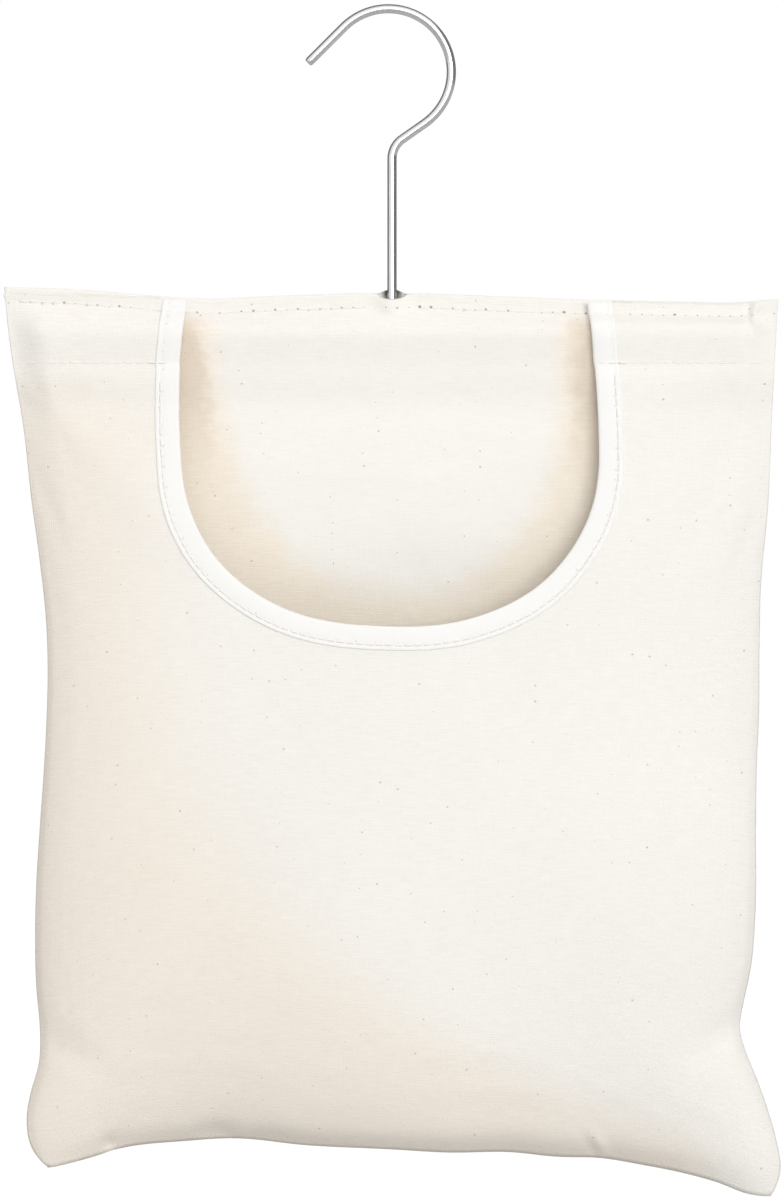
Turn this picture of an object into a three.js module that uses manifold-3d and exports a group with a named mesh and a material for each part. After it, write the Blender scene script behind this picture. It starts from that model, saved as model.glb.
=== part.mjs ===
// Hanging peg bag: a canvas pouch with a bound U-shaped mouth, carried by a wooden rod on a swivel hook.
// Millimetres, +Z up. The origin is inside the crook of the hook, above the shank, where a line carries it.
// The front of the bag faces -Y, and +X is to the right of someone who faces it.
import * as THREE from "three";
import { mergeVertices } from "three/addons/utils/BufferGeometryUtils.js";
import Module from "manifold-3d";

const wasm = await Module();
wasm.setup();

// Clearance that touching pieces keep, and what the cloth and thread are made of.
const CLEARANCE = 0.3;
const CLOTH = 0.6;
const THREAD_DIAMETER = 0.6;

// Hook: a straight tip, a round crook, a slanting neck and a long straight shank.
const WIRE_DIAMETER = 3.5;
const CROOK_INNER_RADIUS = 22;
const CROOK_OFFSET = -1.4;
const TIP_LENGTH = 17;
const TIP_ANGLE = THREE.MathUtils.degToRad(135);
const NECK_ANGLE = THREE.MathUtils.degToRad(-55);
const NECK_BEND_RADIUS = 9;
const SHANK_DROP = 106;
const STOP_REACH = 2.8;
const STOP_THICKNESS = 2.4;
const STOP_HEIGHT = 4;
const HEAD_DIAMETER = 5.6;
const HEAD_THICKNESS = 1.2;

// Hanger rod, and the washer that carries it on the hook's head in a recess from below.
const ROD_DIAMETER = 12;
const ROD_END_GAP = 15;
const SHANK_BORE_CLEARANCE = 0.4;
const RECESS_CLEARANCE = 0.3;
const RECESS_ROOF = 2;
const WASHER_DIAMETER = 6.4;
const WASHER_THICKNESS = 0.8;

// Bag, sewn size, and how its filling shapes it.
const BAG_WIDTH = 292;
const BAG_HEIGHT = 334;
const SIDE_PULL = 13;
const CORNER_FLARE = 8;
const BOTTOM_RISE = 13;
const FRONT_BULGE = 34;
const BACK_BULGE = 25;

// Top channel: a flat ridge above the first row of stitches, then the rod, then the second row.
// The filled pouch draws the second row forward of the rod, and the pull fades out down the panels.
const RIDGE_HEIGHT = 5.5;
const CHANNEL_EASE = 8.5;
const HEM_BELOW_ROW = 3;
const ROW_PULL = 5;
const PULL_REACH = 180;
const SLOT_HALF_LENGTH = 14;
const SLOT_NOTCH = 2.4;

// Mouth, measured on the inside of its binding.
const MOUTH_TOP_WIDTH = 151;
const MOUTH_BELLY = 8;
const MOUTH_DEPTH = 124.5;
const MOUTH_ROUND = 70;
const MOUTH_POWER = 2.5;
const BINDING_WIDTH = 9;
const BINDING_THICKNESS = 0.6;

// Overlocked seam allowances inside the bag.
const ALLOWANCE_WIDTH = 10;
const ALLOWANCE_THICKNESS = 0.7;

// Worked out from the values above.
const WIRE_RADIUS = WIRE_DIAMETER / 2;
const CROOK_RADIUS = CROOK_INNER_RADIUS + WIRE_RADIUS;
const THREAD_RADIUS = THREAD_DIAMETER / 2;
const THREAD_LIFT = 2 * (THREAD_RADIUS + CLEARANCE);
const CHANNEL_HEIGHT = ROD_DIAMETER + CHANNEL_EASE;
const ROD_LENGTH = BAG_WIDTH - 2 * ROD_END_GAP;
const ROD_COLUMN = ROD_LENGTH / 2 + 2 * CLEARANCE;
const ROD_DROP = RIDGE_HEIGHT + CHANNEL_HEIGHT / 2;
const CHANNEL_DROP = RIDGE_HEIGHT + CHANNEL_HEIGHT;
const HEM_DROP = CHANNEL_DROP + HEM_BELOW_ROW;
const SEWN_OFFSET = (CLOTH + CLEARANCE) / 2;
const CASING_RADIUS = ROD_DIAMETER / 2 + CLEARANCE + CLOTH / 2;
const SLOT_OFFSET = STOP_REACH + CLEARANCE + CLOTH;
const HEM_LAYER = CLOTH + 3 * CLEARANCE;
const SHOULDER_LAYER = 2 * HEM_LAYER;
const SHOULDER_RELEASE = 16;
const BORE_RADIUS = WIRE_RADIUS + SHANK_BORE_CLEARANCE;
const ROD_Z = -SHANK_DROP - ROD_DROP;
const WASHER_Z = ROD_Z - RECESS_ROOF - CLEARANCE - WASHER_THICKNESS / 2;
const MOUTH_WIDTH = MOUTH_TOP_WIDTH + MOUTH_BELLY;
const BINDING_GAP = 2 * CLEARANCE;
const BINDING_LIP = BINDING_THICKNESS + CLEARANCE;

// Where along the bag's height the sides are fully drawn in, and where the corners flare out again.
const WAIST_SHARE = 0.42;
const FLARE_START = 0.86;
const FLARE_END = 0.95;

// Materials, in the colours of the real piece.
const canvas = new THREE.MeshStandardMaterial({ color: 0xf1ebdf, roughness: 0.95, metalness: 0 });
const tape = new THREE.MeshStandardMaterial({ color: 0xfdfcf9, roughness: 0.9, metalness: 0 });
const thread = new THREE.MeshStandardMaterial({ color: 0xf3eee4, roughness: 0.8, metalness: 0 });
const steel = new THREE.MeshStandardMaterial({ color: 0xc9cbcd, roughness: 0.22, metalness: 1 });
const wood = new THREE.MeshStandardMaterial({ color: 0xd8b98a, roughness: 0.65, metalness: 0 });

// A smooth step from 0 at start to 1 at end.
const ease = (start, end, value) => THREE.MathUtils.smoothstep(value, start, end);

// Half the bag's width at a drop below its top edge.
function halfWidth(drop) {
  const share = drop / BAG_HEIGHT;
  const drawn = SIDE_PULL * ease(0, WAIST_SHARE, share);
  return BAG_WIDTH / 2 - drawn + CORNER_FLARE * ease(FLARE_START, FLARE_END, share);
}

// How far the bottom seam is lifted at a share across the bag, and what of that shows at a drop.
function lift(across, drop) {
  const share = Math.min(drop / BAG_HEIGHT, 1);
  return BOTTOM_RISE * (1 - Math.abs(across) ** 3) * share ** 2;
}

// Where the straight cloth from a row of stitches meets the cloth that lies round the rod.
// A layer is how far outside the channel's own cloth a further layer of cloth lies.
function casingTouch(layer, pull) {
  const half = CHANNEL_HEIGHT / 2;
  const radius = CASING_RADIUS + layer;
  const sewn = SEWN_OFFSET + layer + pull;
  const angle = Math.atan2(sewn, half) + Math.acos(radius / Math.hypot(half, sewn));
  return { angle, along: radius * Math.cos(angle), out: radius * Math.sin(angle) };
}

// The distance from the rod's middle to the middle of a layer's cloth at a drop.
// The pull moves the second row away from the rod's middle.
function casingOffset(drop, layer, pull) {
  const half = CHANNEL_HEIGHT / 2;
  const away = Math.abs(drop - ROD_DROP);
  const drawn = drop > ROD_DROP ? pull : 0;
  const sewn = SEWN_OFFSET + layer + drawn;
  if (away >= half) return sewn;
  const touch = casingTouch(layer, drawn);
  if (away <= touch.along) return Math.sqrt((CASING_RADIUS + layer) ** 2 - away ** 2);
  return THREE.MathUtils.mapLinear(away, touch.along, half, touch.out, sewn);
}

// The same at a place: round the rod, closed at the bag's sides, open round the shank.
function channelOffset(across, drop, layer, pull) {
  const sewn = SEWN_OFFSET + layer;
  const x = (across * BAG_WIDTH) / 2;
  const open = 1 - ease(ROD_COLUMN, BAG_WIDTH / 2, Math.abs(x));
  const round = sewn + (casingOffset(drop, layer, pull) - sewn) * open;
  if (drop > ROD_DROP) return round;
  const beside = Math.min(Math.abs(x) / SLOT_HALF_LENGTH, 1);
  return Math.max(round, SLOT_OFFSET * Math.cos((beside * Math.PI) / 2) ** 2);
}

// How full the bag is at a place, from 0 on every seam to 1 where it bulges most, turning in to the bottom.
// The opening of a panel is how it parts from the middle, from 0 at the channel to 1 where it is fullest.
function fullness(across, drop, opening) {
  const fullest = 0.7;
  const share = THREE.MathUtils.clamp((drop - CHANNEL_DROP) / (BAG_HEIGHT - CHANNEL_DROP), 0, 1);
  const past = Math.max((share - fullest) / (1 - fullest), 0);
  const along = opening(Math.min(share / fullest, 1)) * (1 - past ** 2.6) ** 0.6;
  return along * (1 - Math.min(Math.abs(across), 1) ** 2.6) ** 0.6;
}

// The front parts from the channel down, so that the mouth gapes.
const frontBulge = (across, drop) => FRONT_BULGE * fullness(across, drop, (share) => 1 - (1 - share) ** 1.6);

// The back hangs straight behind the mouth and parts below it.
const backBulge = (across, drop) => BACK_BULGE * fullness(across, drop, (share) => ease(0.15, 1, share));

// A point at a share across the bag and a drop below its top, at a depth behind the shank.
// Heights here are from the bag's top edge.
function bagPoint(across, drop, depth) {
  const x = across * halfWidth(drop);
  return new THREE.Vector3(x, depth, lift(across, drop) - drop);
}

// The depth of the channel at a share across the bag and a drop, for one layer of cloth.
function channelDepth(across, drop, layer, pull) {
  const left = 1 - ease(CHANNEL_DROP, CHANNEL_DROP + PULL_REACH, drop);
  return channelOffset(across, Math.min(drop, CHANNEL_DROP), layer, pull * left);
}

// The middle of the back panel's cloth, which passes in front of the rod and then down behind the pouch.
function backPoint(across, drop) {
  const behind = 2 * SEWN_OFFSET * ease(HEM_DROP, HEM_DROP + SHOULDER_RELEASE, drop);
  const depth = behind - channelDepth(across, drop, 0, ROW_PULL);
  return bagPoint(across, drop, depth + backBulge(across, drop));
}

// The middle of the back panel's top, which is turned over behind the rod and ends under the second row.
function turnedPoint(across, drop) {
  const depth = channelDepth(across, drop, 0, -ROW_PULL);
  return bagPoint(across, drop, depth + backBulge(across, drop));
}

// The middle of the hem that is turned in behind the front panel's shoulders.
function hemPoint(across, drop) {
  return bagPoint(across, drop, -channelDepth(across, drop, HEM_LAYER, ROW_PULL));
}

// The middle of the front panel's cloth. Its shoulders lie over the channel and the turned-in hem.
function frontPoint(across, drop) {
  const layer = SHOULDER_LAYER * (1 - ease(HEM_DROP, HEM_DROP + SHOULDER_RELEASE, drop));
  const depth = channelDepth(across, drop, layer, ROW_PULL) + frontBulge(across, drop);
  return bagPoint(across, drop, -depth);
}

// The point of a surface at a place seen from the front, moved forward out of its cloth by some distance.
function pointAt(surface, x, z, out) {
  const step = 0.2;
  let drop = -z;
  let across = x / halfWidth(drop);
  for (let round = 0; round < 6; round += 1) {
    drop = lift(across, drop) - z;
    across = x / halfWidth(drop);
  }
  const point = surface(across, drop);
  const shareStep = step / BAG_WIDTH;
  const along = surface(across + shareStep, drop).sub(surface(across - shareStep, drop));
  const down = surface(across, drop + step).sub(surface(across, drop - step));
  const normal = along.cross(down).normalize();
  return point.addScaledVector(normal, -out * Math.sign(normal.y));
}

// Distances from the shank at which the sheets have a column of points, out to the side seam.
function columnDistances() {
  const distances = [];
  const nearShank = 3;
  const alongRod = 6;
  const pastRod = [0.45, 0.8, 1];
  for (let k = 0; k <= nearShank; k += 1) distances.push((SLOT_HALF_LENGTH * k) / nearShank);
  for (let k = 1; k <= alongRod; k += 1) {
    distances.push(THREE.MathUtils.lerp(SLOT_HALF_LENGTH, ROD_COLUMN, k / alongRod));
  }
  pastRod.forEach((share) => distances.push(THREE.MathUtils.lerp(ROD_COLUMN, BAG_WIDTH / 2, share)));
  return distances;
}

// The same as shares across the bag, from its left seam to its right seam.
function columnShares() {
  const right = columnDistances().map((x) => x / (BAG_WIDTH / 2));
  const left = right.slice(1).reverse();
  return [...left.map((share) => -share), ...right];
}

// Drops at which a layer has a row of points, down the ridge and the channel.
function channelDrops(layer, pull) {
  const start = Math.PI - casingTouch(layer, 0).angle;
  const end = casingTouch(layer, pull).angle;
  const arcSteps = 6;
  const drops = [0, 0.12, 0.24, 0.85, 1].map((share) => share * RIDGE_HEIGHT);
  for (let k = 0; k <= arcSteps; k += 1) {
    const angle = THREE.MathUtils.lerp(start, end, k / arcSteps);
    drops.push(ROD_DROP + (CASING_RADIUS + layer) * Math.cos(angle));
  }
  return [...drops, CHANNEL_DROP];
}

// Drops from under the channel to the bottom seam, closer together where the cloth turns in.
function pouchDrops() {
  const steps = 13;
  const release = HEM_DROP + SHOULDER_RELEASE;
  const drops = [HEM_DROP, (HEM_DROP + release) / 2, release];
  for (let k = 1; k <= steps; k += 1) {
    drops.push(THREE.MathUtils.lerp(release, BAG_HEIGHT, Math.sin((k / steps) * (Math.PI / 2))));
  }
  return drops;
}

// The direction across a grid of points, square to its rows and columns at one point.
function gridNormal(rows, i, j) {
  const last = rows.length - 1;
  const end = rows[0].length - 1;
  const along = rows[i][Math.min(j + 1, end)].clone().sub(rows[i][Math.max(j - 1, 0)]);
  const down = rows[Math.min(i + 1, last)][j].clone().sub(rows[Math.max(i - 1, 0)][j]);
  return along.cross(down).normalize();
}

// A closed sheet of even thickness round a grid of points in the middle of the cloth.
function sheetGeometry(rows, thickness) {
  const width = rows[0].length;
  const size = rows.length * width;
  const positions = [];
  for (const side of [0.5, -0.5]) {
    rows.forEach((row, i) =>
      row.forEach((point, j) => {
        const normal = gridNormal(rows, i, j);
        positions.push(...point.clone().addScaledVector(normal, side * thickness).toArray());
      }),
    );
  }
  const index = [];
  const quad = (a, b, c, d) => index.push(a, b, c, a, c, d);
  const near = (i, j) => i * width + j;
  const far = (i, j) => size + near(i, j);
  const bottom = rows.length - 1;
  const end = width - 1;
  for (let i = 0; i < bottom; i += 1) {
    for (let j = 0; j < end; j += 1) {
      quad(near(i, j), near(i, j + 1), near(i + 1, j + 1), near(i + 1, j));
      quad(far(i, j), far(i + 1, j), far(i + 1, j + 1), far(i, j + 1));
    }
    quad(near(i, 0), near(i + 1, 0), far(i + 1, 0), far(i, 0));
    quad(near(i + 1, end), near(i, end), far(i, end), far(i + 1, end));
  }
  for (let j = 0; j < end; j += 1) {
    quad(near(0, j + 1), near(0, j), far(0, j), far(0, j + 1));
    quad(near(bottom, j), near(bottom, j + 1), far(bottom, j + 1), far(bottom, j));
  }
  return indexedGeometry(positions, index);
}

// A closed band whose outline, a ring of points, is carried through a list of places.
function bandGeometry(rings, outline) {
  const size = outline.length;
  const positions = rings.flat().flatMap((point) => point.toArray());
  const index = [];
  for (let i = 0; i < rings.length - 1; i += 1) {
    for (let j = 0; j < size; j += 1) {
      const next = (j + 1) % size;
      const a = i * size;
      const b = a + size;
      index.push(a + j, b + j, b + next, a + j, b + next, a + next);
    }
  }
  const lastRing = (rings.length - 1) * size;
  THREE.ShapeUtils.triangulateShape(outline, []).forEach(([a, b, c]) => {
    index.push(a, b, c, lastRing + a, lastRing + c, lastRing + b);
  });
  return indexedGeometry(positions, index);
}

// A geometry from positions and triangles, turned so that its faces point out.
function indexedGeometry(positions, index) {
  const geometry = new THREE.BufferGeometry();
  geometry.setAttribute("position", new THREE.Float32BufferAttribute(positions, 3));
  geometry.setIndex(index);
  if (signedVolume(positions, index) < 0) geometry.index.array.reverse();
  return geometry;
}

// Volume inside a closed set of triangles, below zero if they face in.
function signedVolume(positions, index) {
  const corner = (k) => new THREE.Vector3().fromArray(positions, 3 * index[k]);
  let volume = 0;
  for (let k = 0; k < index.length; k += 3) {
    volume += corner(k).dot(corner(k + 1).cross(corner(k + 2)));
  }
  return volume;
}

// A geometry as a solid that can be joined and cut.
function solidOf(geometry) {
  const bare = geometry.clone();
  bare.deleteAttribute("normal");
  bare.deleteAttribute("uv");
  const merged = mergeVertices(bare, 1e-4);
  const vertProperties = new Float32Array(merged.attributes.position.array);
  const triVerts = new Uint32Array(merged.index.array);
  return new wasm.Manifold(new wasm.Mesh({ numProp: 3, vertProperties, triVerts }));
}

// A joined or cut solid as a geometry.
function geometryOf(solid) {
  const mesh = solid.getMesh();
  return indexedGeometry(Array.from(mesh.vertProperties), Array.from(mesh.triVerts));
}

// An upright round bar between two heights.
function uprightBar(radius, low, high, sides) {
  const bar = new THREE.CylinderGeometry(radius, radius, high - low, sides);
  bar.rotateX(Math.PI / 2);
  return bar.translate(0, 0, (low + high) / 2);
}

// A closed tube along a list of points.
function tubeGeometry(points, radius, sides) {
  const outline = [];
  for (let k = 0; k < sides; k += 1) {
    const angle = (k / sides) * 2 * Math.PI;
    outline.push(new THREE.Vector2(radius * Math.cos(angle), radius * Math.sin(angle)));
  }
  const rings = points.map((point, k) => {
    const before = points[Math.max(k - 1, 0)];
    const after = points[Math.min(k + 1, points.length - 1)];
    const run = after.clone().sub(before).normalize();
    const aside = run.clone().cross(new THREE.Vector3(0, 1, 0)).normalize();
    const over = aside.clone().cross(run);
    return outline.map((corner) =>
      point.clone().addScaledVector(aside, corner.x).addScaledVector(over, corner.y),
    );
  });
  return bandGeometry(rings, outline);
}

// A point of the crook's centreline, at an angle from +X.
function crookPoint(angle) {
  const centreZ = -CROOK_INNER_RADIUS;
  return new THREE.Vector3(
    CROOK_OFFSET + CROOK_RADIUS * Math.cos(angle),
    0,
    centreZ + CROOK_RADIUS * Math.sin(angle),
  );
}

// The hook's centreline from its tip to the end of its shank.
function hookPoints(shankEnd) {
  const points = [];
  const arcSteps = 32;
  const bendSteps = 6;
  const tipDirection = new THREE.Vector3(-Math.sin(TIP_ANGLE), 0, Math.cos(TIP_ANGLE));
  points.push(crookPoint(TIP_ANGLE).addScaledVector(tipDirection, TIP_LENGTH));
  for (let k = 0; k <= arcSteps; k += 1) {
    points.push(crookPoint(THREE.MathUtils.lerp(TIP_ANGLE, NECK_ANGLE, k / arcSteps)));
  }
  const leave = crookPoint(NECK_ANGLE);
  const neck = new THREE.Vector3(Math.sin(NECK_ANGLE), 0, -Math.cos(NECK_ANGLE));
  const corner = leave.clone().addScaledVector(neck, leave.x / -neck.x);
  const turn = Math.acos(-neck.z);
  const bendCentre = new THREE.Vector3(NECK_BEND_RADIUS, 0, corner.z - NECK_BEND_RADIUS * Math.tan(turn / 2));
  for (let k = 0; k <= bendSteps; k += 1) {
    const angle = Math.PI - turn * (1 - k / bendSteps);
    points.push(
      new THREE.Vector3(
        bendCentre.x + NECK_BEND_RADIUS * Math.cos(angle),
        0,
        bendCentre.z + NECK_BEND_RADIUS * Math.sin(angle),
      ),
    );
  }
  points.push(new THREE.Vector3(0, 0, shankEnd));
  return points;
}

// Hook: wire, a pinched stop that sits on the rod, and an upset head under the washer.
function makeHook() {
  const rodTop = ROD_Z + ROD_DIAMETER / 2;
  const headTop = WASHER_Z - WASHER_THICKNESS / 2 - CLEARANCE;
  const wire = solidOf(tubeGeometry(hookPoints(headTop), WIRE_RADIUS, 12));
  const head = solidOf(uprightBar(HEAD_DIAMETER / 2, headTop - HEAD_THICKNESS, headTop, 16));
  const stop = uprightBar(STOP_REACH, -STOP_HEIGHT / 2, STOP_HEIGHT / 2, 16);
  stop.scale(1, STOP_THICKNESS / (2 * STOP_REACH), 1);
  stop.translate(0, 0, rodTop + CLEARANCE + STOP_HEIGHT / 2);
  return geometryOf(wire.add(head).add(solidOf(stop)));
}

// Hanger rod: a wooden dowel with an upright bore for the shank and a recess for its head.
function makeRod() {
  const rod = new THREE.CylinderGeometry(ROD_DIAMETER / 2, ROD_DIAMETER / 2, ROD_LENGTH, 24);
  rod.rotateZ(Math.PI / 2);
  const bore = solidOf(uprightBar(BORE_RADIUS, -ROD_DIAMETER, ROD_DIAMETER, 16));
  const recessRadius = Math.max(WASHER_DIAMETER, HEAD_DIAMETER) / 2 + RECESS_CLEARANCE;
  const recess = solidOf(uprightBar(recessRadius, -ROD_DIAMETER, -RECESS_ROOF, 20));
  return geometryOf(solidOf(rod).subtract(bore.add(recess)));
}

// Washer between the rod and the hook's head.
function makeWasher() {
  const half = WASHER_THICKNESS / 2;
  const profile = [
    new THREE.Vector2(BORE_RADIUS, -half),
    new THREE.Vector2(WASHER_DIAMETER / 2, -half),
    new THREE.Vector2(WASHER_DIAMETER / 2, half),
    new THREE.Vector2(BORE_RADIUS, half),
    new THREE.Vector2(BORE_RADIUS, -half),
  ];
  return new THREE.LatheGeometry(profile, 16).rotateX(Math.PI / 2);
}

// Back panel: up behind the rod, over the ridge, down in front of the rod and down the back of the pouch.
// The shank's slot is cut out of its ridge.
function makeBackPanel() {
  const across = columnShares();
  const turned = [...channelDrops(0, -ROW_PULL), HEM_DROP].reverse();
  const rows = turned.slice(0, -1).map((drop) => across.map((share) => turnedPoint(share, drop)));
  rows.push(across.map((share) => backPoint(share, 0).setY(0)));
  const down = [...channelDrops(0, ROW_PULL).slice(1), ...pouchDrops()];
  down.forEach((drop) => rows.push(across.map((share) => backPoint(share, drop))));
  const sheet = solidOf(sheetGeometry(rows, CLOTH));
  const slotRadius = SLOT_OFFSET + CLOTH;
  const slot = uprightBar(slotRadius, -SLOT_NOTCH, RIDGE_HEIGHT, 20);
  return geometryOf(sheet.subtract(solidOf(slot)));
}

// Half of the mouth's outline, from the top of its right side down to its lowest point, with its drop as Y.
// The outline runs on above the bag's top by the given margin, and each point is moved out by spread.
function mouthHalf(spread, margin) {
  const roundSteps = 20;
  const straight = MOUTH_DEPTH - MOUTH_ROUND;
  const drops = [...channelDrops(SHOULDER_LAYER, ROW_PULL), ...pouchDrops()];
  const sides = drops.filter((drop) => drop < straight - CLOTH);
  const half = [-margin, ...sides.slice(1)].map((drop) => {
    const widening = Math.sin((Math.max(drop, 0) / straight) * (Math.PI / 2));
    return new THREE.Vector2(THREE.MathUtils.lerp(MOUTH_TOP_WIDTH, MOUTH_WIDTH, widening) / 2, drop);
  });
  for (let k = 0; k <= roundSteps; k += 1) {
    const angle = (k / roundSteps) * (Math.PI / 2);
    const x = (MOUTH_WIDTH / 2) * Math.cos(angle) ** (2 / MOUTH_POWER);
    half.push(new THREE.Vector2(x, straight + MOUTH_ROUND * Math.sin(angle) ** (2 / MOUTH_POWER)));
  }
  const last = half.length - 1;
  return half.map((point, k) => {
    const run = half[Math.min(k + 1, last)].clone().sub(half[Math.max(k - 1, 0)]).normalize();
    const out = new THREE.Vector2(run.y, -run.x);
    if (point.y <= HEM_DROP) out.set(1, 0);
    if (k === last) out.set(0, 1);
    return point.clone().addScaledVector(out, spread);
  });
}

// The whole outline of the mouth from its top right round to its top left, as points in X and Z.
function mouthOutline(spread, margin) {
  const right = mouthHalf(spread, margin).map((point) => new THREE.Vector2(point.x, -point.y));
  const left = right.slice(0, -1).reverse();
  return [...right, ...left.map((point) => new THREE.Vector2(-point.x, point.y))];
}

// Front panel: one sheet with the mouth cut out of it.
function makeFrontPanel() {
  const across = columnShares();
  const drops = [...channelDrops(SHOULDER_LAYER, ROW_PULL), ...pouchDrops()];
  const rows = drops.map((drop) => across.map((share) => frontPoint(share, drop)));
  const sheet = solidOf(sheetGeometry(rows, CLOTH));
  const reach = FRONT_BULGE + ROD_DIAMETER;
  const shape = new THREE.Shape(mouthOutline(BINDING_LIP, RIDGE_HEIGHT));
  const cutter = new THREE.ExtrudeGeometry(shape, { depth: 2 * reach, bevelEnabled: false });
  cutter.rotateX(Math.PI / 2).translate(0, reach, 0);
  return geometryOf(sheet.subtract(solidOf(cutter)));
}

// Binding: a tape folded over the mouth's cut edge, in front of the cloth and behind it.
function makeBinding() {
  const inner = CLOTH / 2 + BINDING_GAP;
  const outer = inner + BINDING_THICKNESS;
  const outline = [
    new THREE.Vector2(BINDING_WIDTH, outer),
    new THREE.Vector2(0, outer),
    new THREE.Vector2(0, -outer),
    new THREE.Vector2(BINDING_WIDTH, -outer),
    new THREE.Vector2(BINDING_WIDTH, -inner),
    new THREE.Vector2(BINDING_THICKNESS, -inner),
    new THREE.Vector2(BINDING_THICKNESS, inner),
    new THREE.Vector2(BINDING_WIDTH, inner),
  ];
  const edge = mouthOutline(0, 0);
  const far = mouthOutline(BINDING_WIDTH, 0);
  const rings = edge.map((start, k) =>
    outline.map((corner) => {
      const place = start.clone().lerp(far[k], corner.x / BINDING_WIDTH);
      return pointAt(frontPoint, place.x, place.y, corner.y);
    }),
  );
  return bandGeometry(rings, outline);
}

// Turned-in hem behind one shoulder of the front panel, from the binding nearly to the side seam.
function makeShoulderHem(side) {
  const widest = Math.max(MOUTH_WIDTH, MOUTH_TOP_WIDTH);
  const start = widest / 2 + BINDING_WIDTH + 2 * CLEARANCE;
  const distances = columnDistances().slice(0, -2).filter((x) => x > start + CLOTH);
  const across = [start, ...distances].map((x) => (side * x) / (BAG_WIDTH / 2));
  const drops = channelDrops(HEM_LAYER, ROW_PULL).slice(1);
  return sheetGeometry(drops.map((drop) => across.map((share) => hemPoint(share, drop))), CLOTH);
}

// Overlocked allowance of one side seam, inside the bag and halfway between its panels.
function makeSideAllowance(side) {
  const steps = 10;
  const first = BAG_HEIGHT * 0.28;
  const last = BAG_HEIGHT * 0.9;
  const rows = [];
  for (let k = 0; k <= steps; k += 1) {
    const drop = THREE.MathUtils.lerp(first, last, k / steps);
    const edge = halfWidth(drop) - CLOTH / 2 - 4 * CLEARANCE;
    const places = [edge, edge - ALLOWANCE_WIDTH].map((x) => {
      const across = (side * x) / halfWidth(drop);
      const depth = (frontPoint(across, drop).y + backPoint(across, drop).y) / 2;
      return new THREE.Vector3(side * x, depth, -drop);
    });
    rows.push(places);
  }
  return sheetGeometry(rows, ALLOWANCE_THICKNESS);
}

// Overlocked allowance of the bottom seam, inside the bag.
function makeBottomAllowance() {
  const steps = 14;
  const reach = 0.84;
  const rows = [];
  for (let k = 0; k <= steps; k += 1) {
    const across = THREE.MathUtils.lerp(-reach, reach, k / steps);
    const seam = frontPoint(across, BAG_HEIGHT);
    const low = seam.z + CLOTH / 2 + 2 * CLEARANCE;
    rows.push([low, low + ALLOWANCE_WIDTH].map((z) => new THREE.Vector3(seam.x, 0, z)));
  }
  return sheetGeometry(rows, ALLOWANCE_THICKNESS);
}

// Thread along a list of points.
function threadGeometry(points) {
  return tubeGeometry(points, THREAD_RADIUS, 5);
}

// Depth of the needle thread on the front: on the shoulder, over the binding, then on the channel.
function needleDepth(x, z) {
  const place = Math.abs(x);
  const bindingInside = MOUTH_TOP_WIDTH / 2 - BINDING_WIDTH / 3;
  const bindingOutside = MOUTH_WIDTH / 2 + BINDING_WIDTH + CLOTH;
  const onChannel = pointAt(backPoint, x, z, CLOTH / 2).y - THREAD_LIFT;
  const onShoulder = pointAt(frontPoint, x, z, CLOTH / 2).y - THREAD_LIFT;
  const overBinding = onShoulder - BINDING_GAP - BINDING_THICKNESS;
  if (place > bindingInside) {
    const off = ease(bindingOutside, bindingOutside + BINDING_WIDTH, place);
    return THREE.MathUtils.lerp(overBinding, onShoulder, off);
  }
  const on = ease(bindingInside - BINDING_WIDTH, bindingInside, place);
  return THREE.MathUtils.lerp(onChannel, overBinding, on);
}

// Depth of the bobbin thread on the back of the bag.
function bobbinDepth(x, z) {
  return pointAt(turnedPoint, x, z, -CLOTH / 2).y + THREAD_LIFT;
}

// Points along a row of stitches, from one place across the bag to another.
function rowPoints(from, to, drop, depth) {
  const pitch = 7;
  const count = Math.ceil(Math.abs(to - from) / pitch);
  const z = -drop;
  const points = [];
  for (let k = 0; k <= count; k += 1) {
    const x = THREE.MathUtils.lerp(from, to, k / count);
    points.push(new THREE.Vector3(x, depth(x, z), z));
  }
  return points;
}

// Thread that holds the binding, near its outer edge on the front.
function makeBindingThread() {
  const inset = BINDING_WIDTH - 2 * THREAD_DIAMETER;
  const out = CLOTH / 2 + BINDING_GAP + BINDING_THICKNESS + CLEARANCE + THREAD_RADIUS;
  const places = mouthOutline(inset, 0).filter((place) => -place.y > HEM_DROP);
  return threadGeometry(places.map((place) => pointAt(frontPoint, place.x, place.y, out)));
}

// A named piece with a material of its own, placed in a group at a height.
function add(group, name, geometry, material, height = 0) {
  const piece = new THREE.Mesh(geometry, material.clone());
  piece.name = name;
  piece.position.z = height;
  group.add(piece);
}

// A row of stitches as a thread, from one place across the bag to another.
function makeRow(from, to, drop, depth) {
  return threadGeometry(rowPoints(from, to, drop, depth));
}

const hanger = new THREE.Group();
add(hanger, "hook", makeHook(), steel);
add(hanger, "shank_washer", makeWasher(), steel, WASHER_Z);
add(hanger, "hanger_rod", makeRod(), wood, ROD_Z);

const pouch = new THREE.Group();
pouch.position.z = -SHANK_DROP;
add(pouch, "back_panel", makeBackPanel(), canvas);
add(pouch, "front_panel", makeFrontPanel(), canvas);
add(pouch, "mouth_binding", makeBinding(), tape);
add(pouch, "left_shoulder_hem", makeShoulderHem(-1), canvas);
add(pouch, "right_shoulder_hem", makeShoulderHem(1), canvas);
add(pouch, "left_seam_allowance", makeSideAllowance(-1), canvas);
add(pouch, "right_seam_allowance", makeSideAllowance(1), canvas);
add(pouch, "bottom_seam_allowance", makeBottomAllowance(), canvas);

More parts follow.
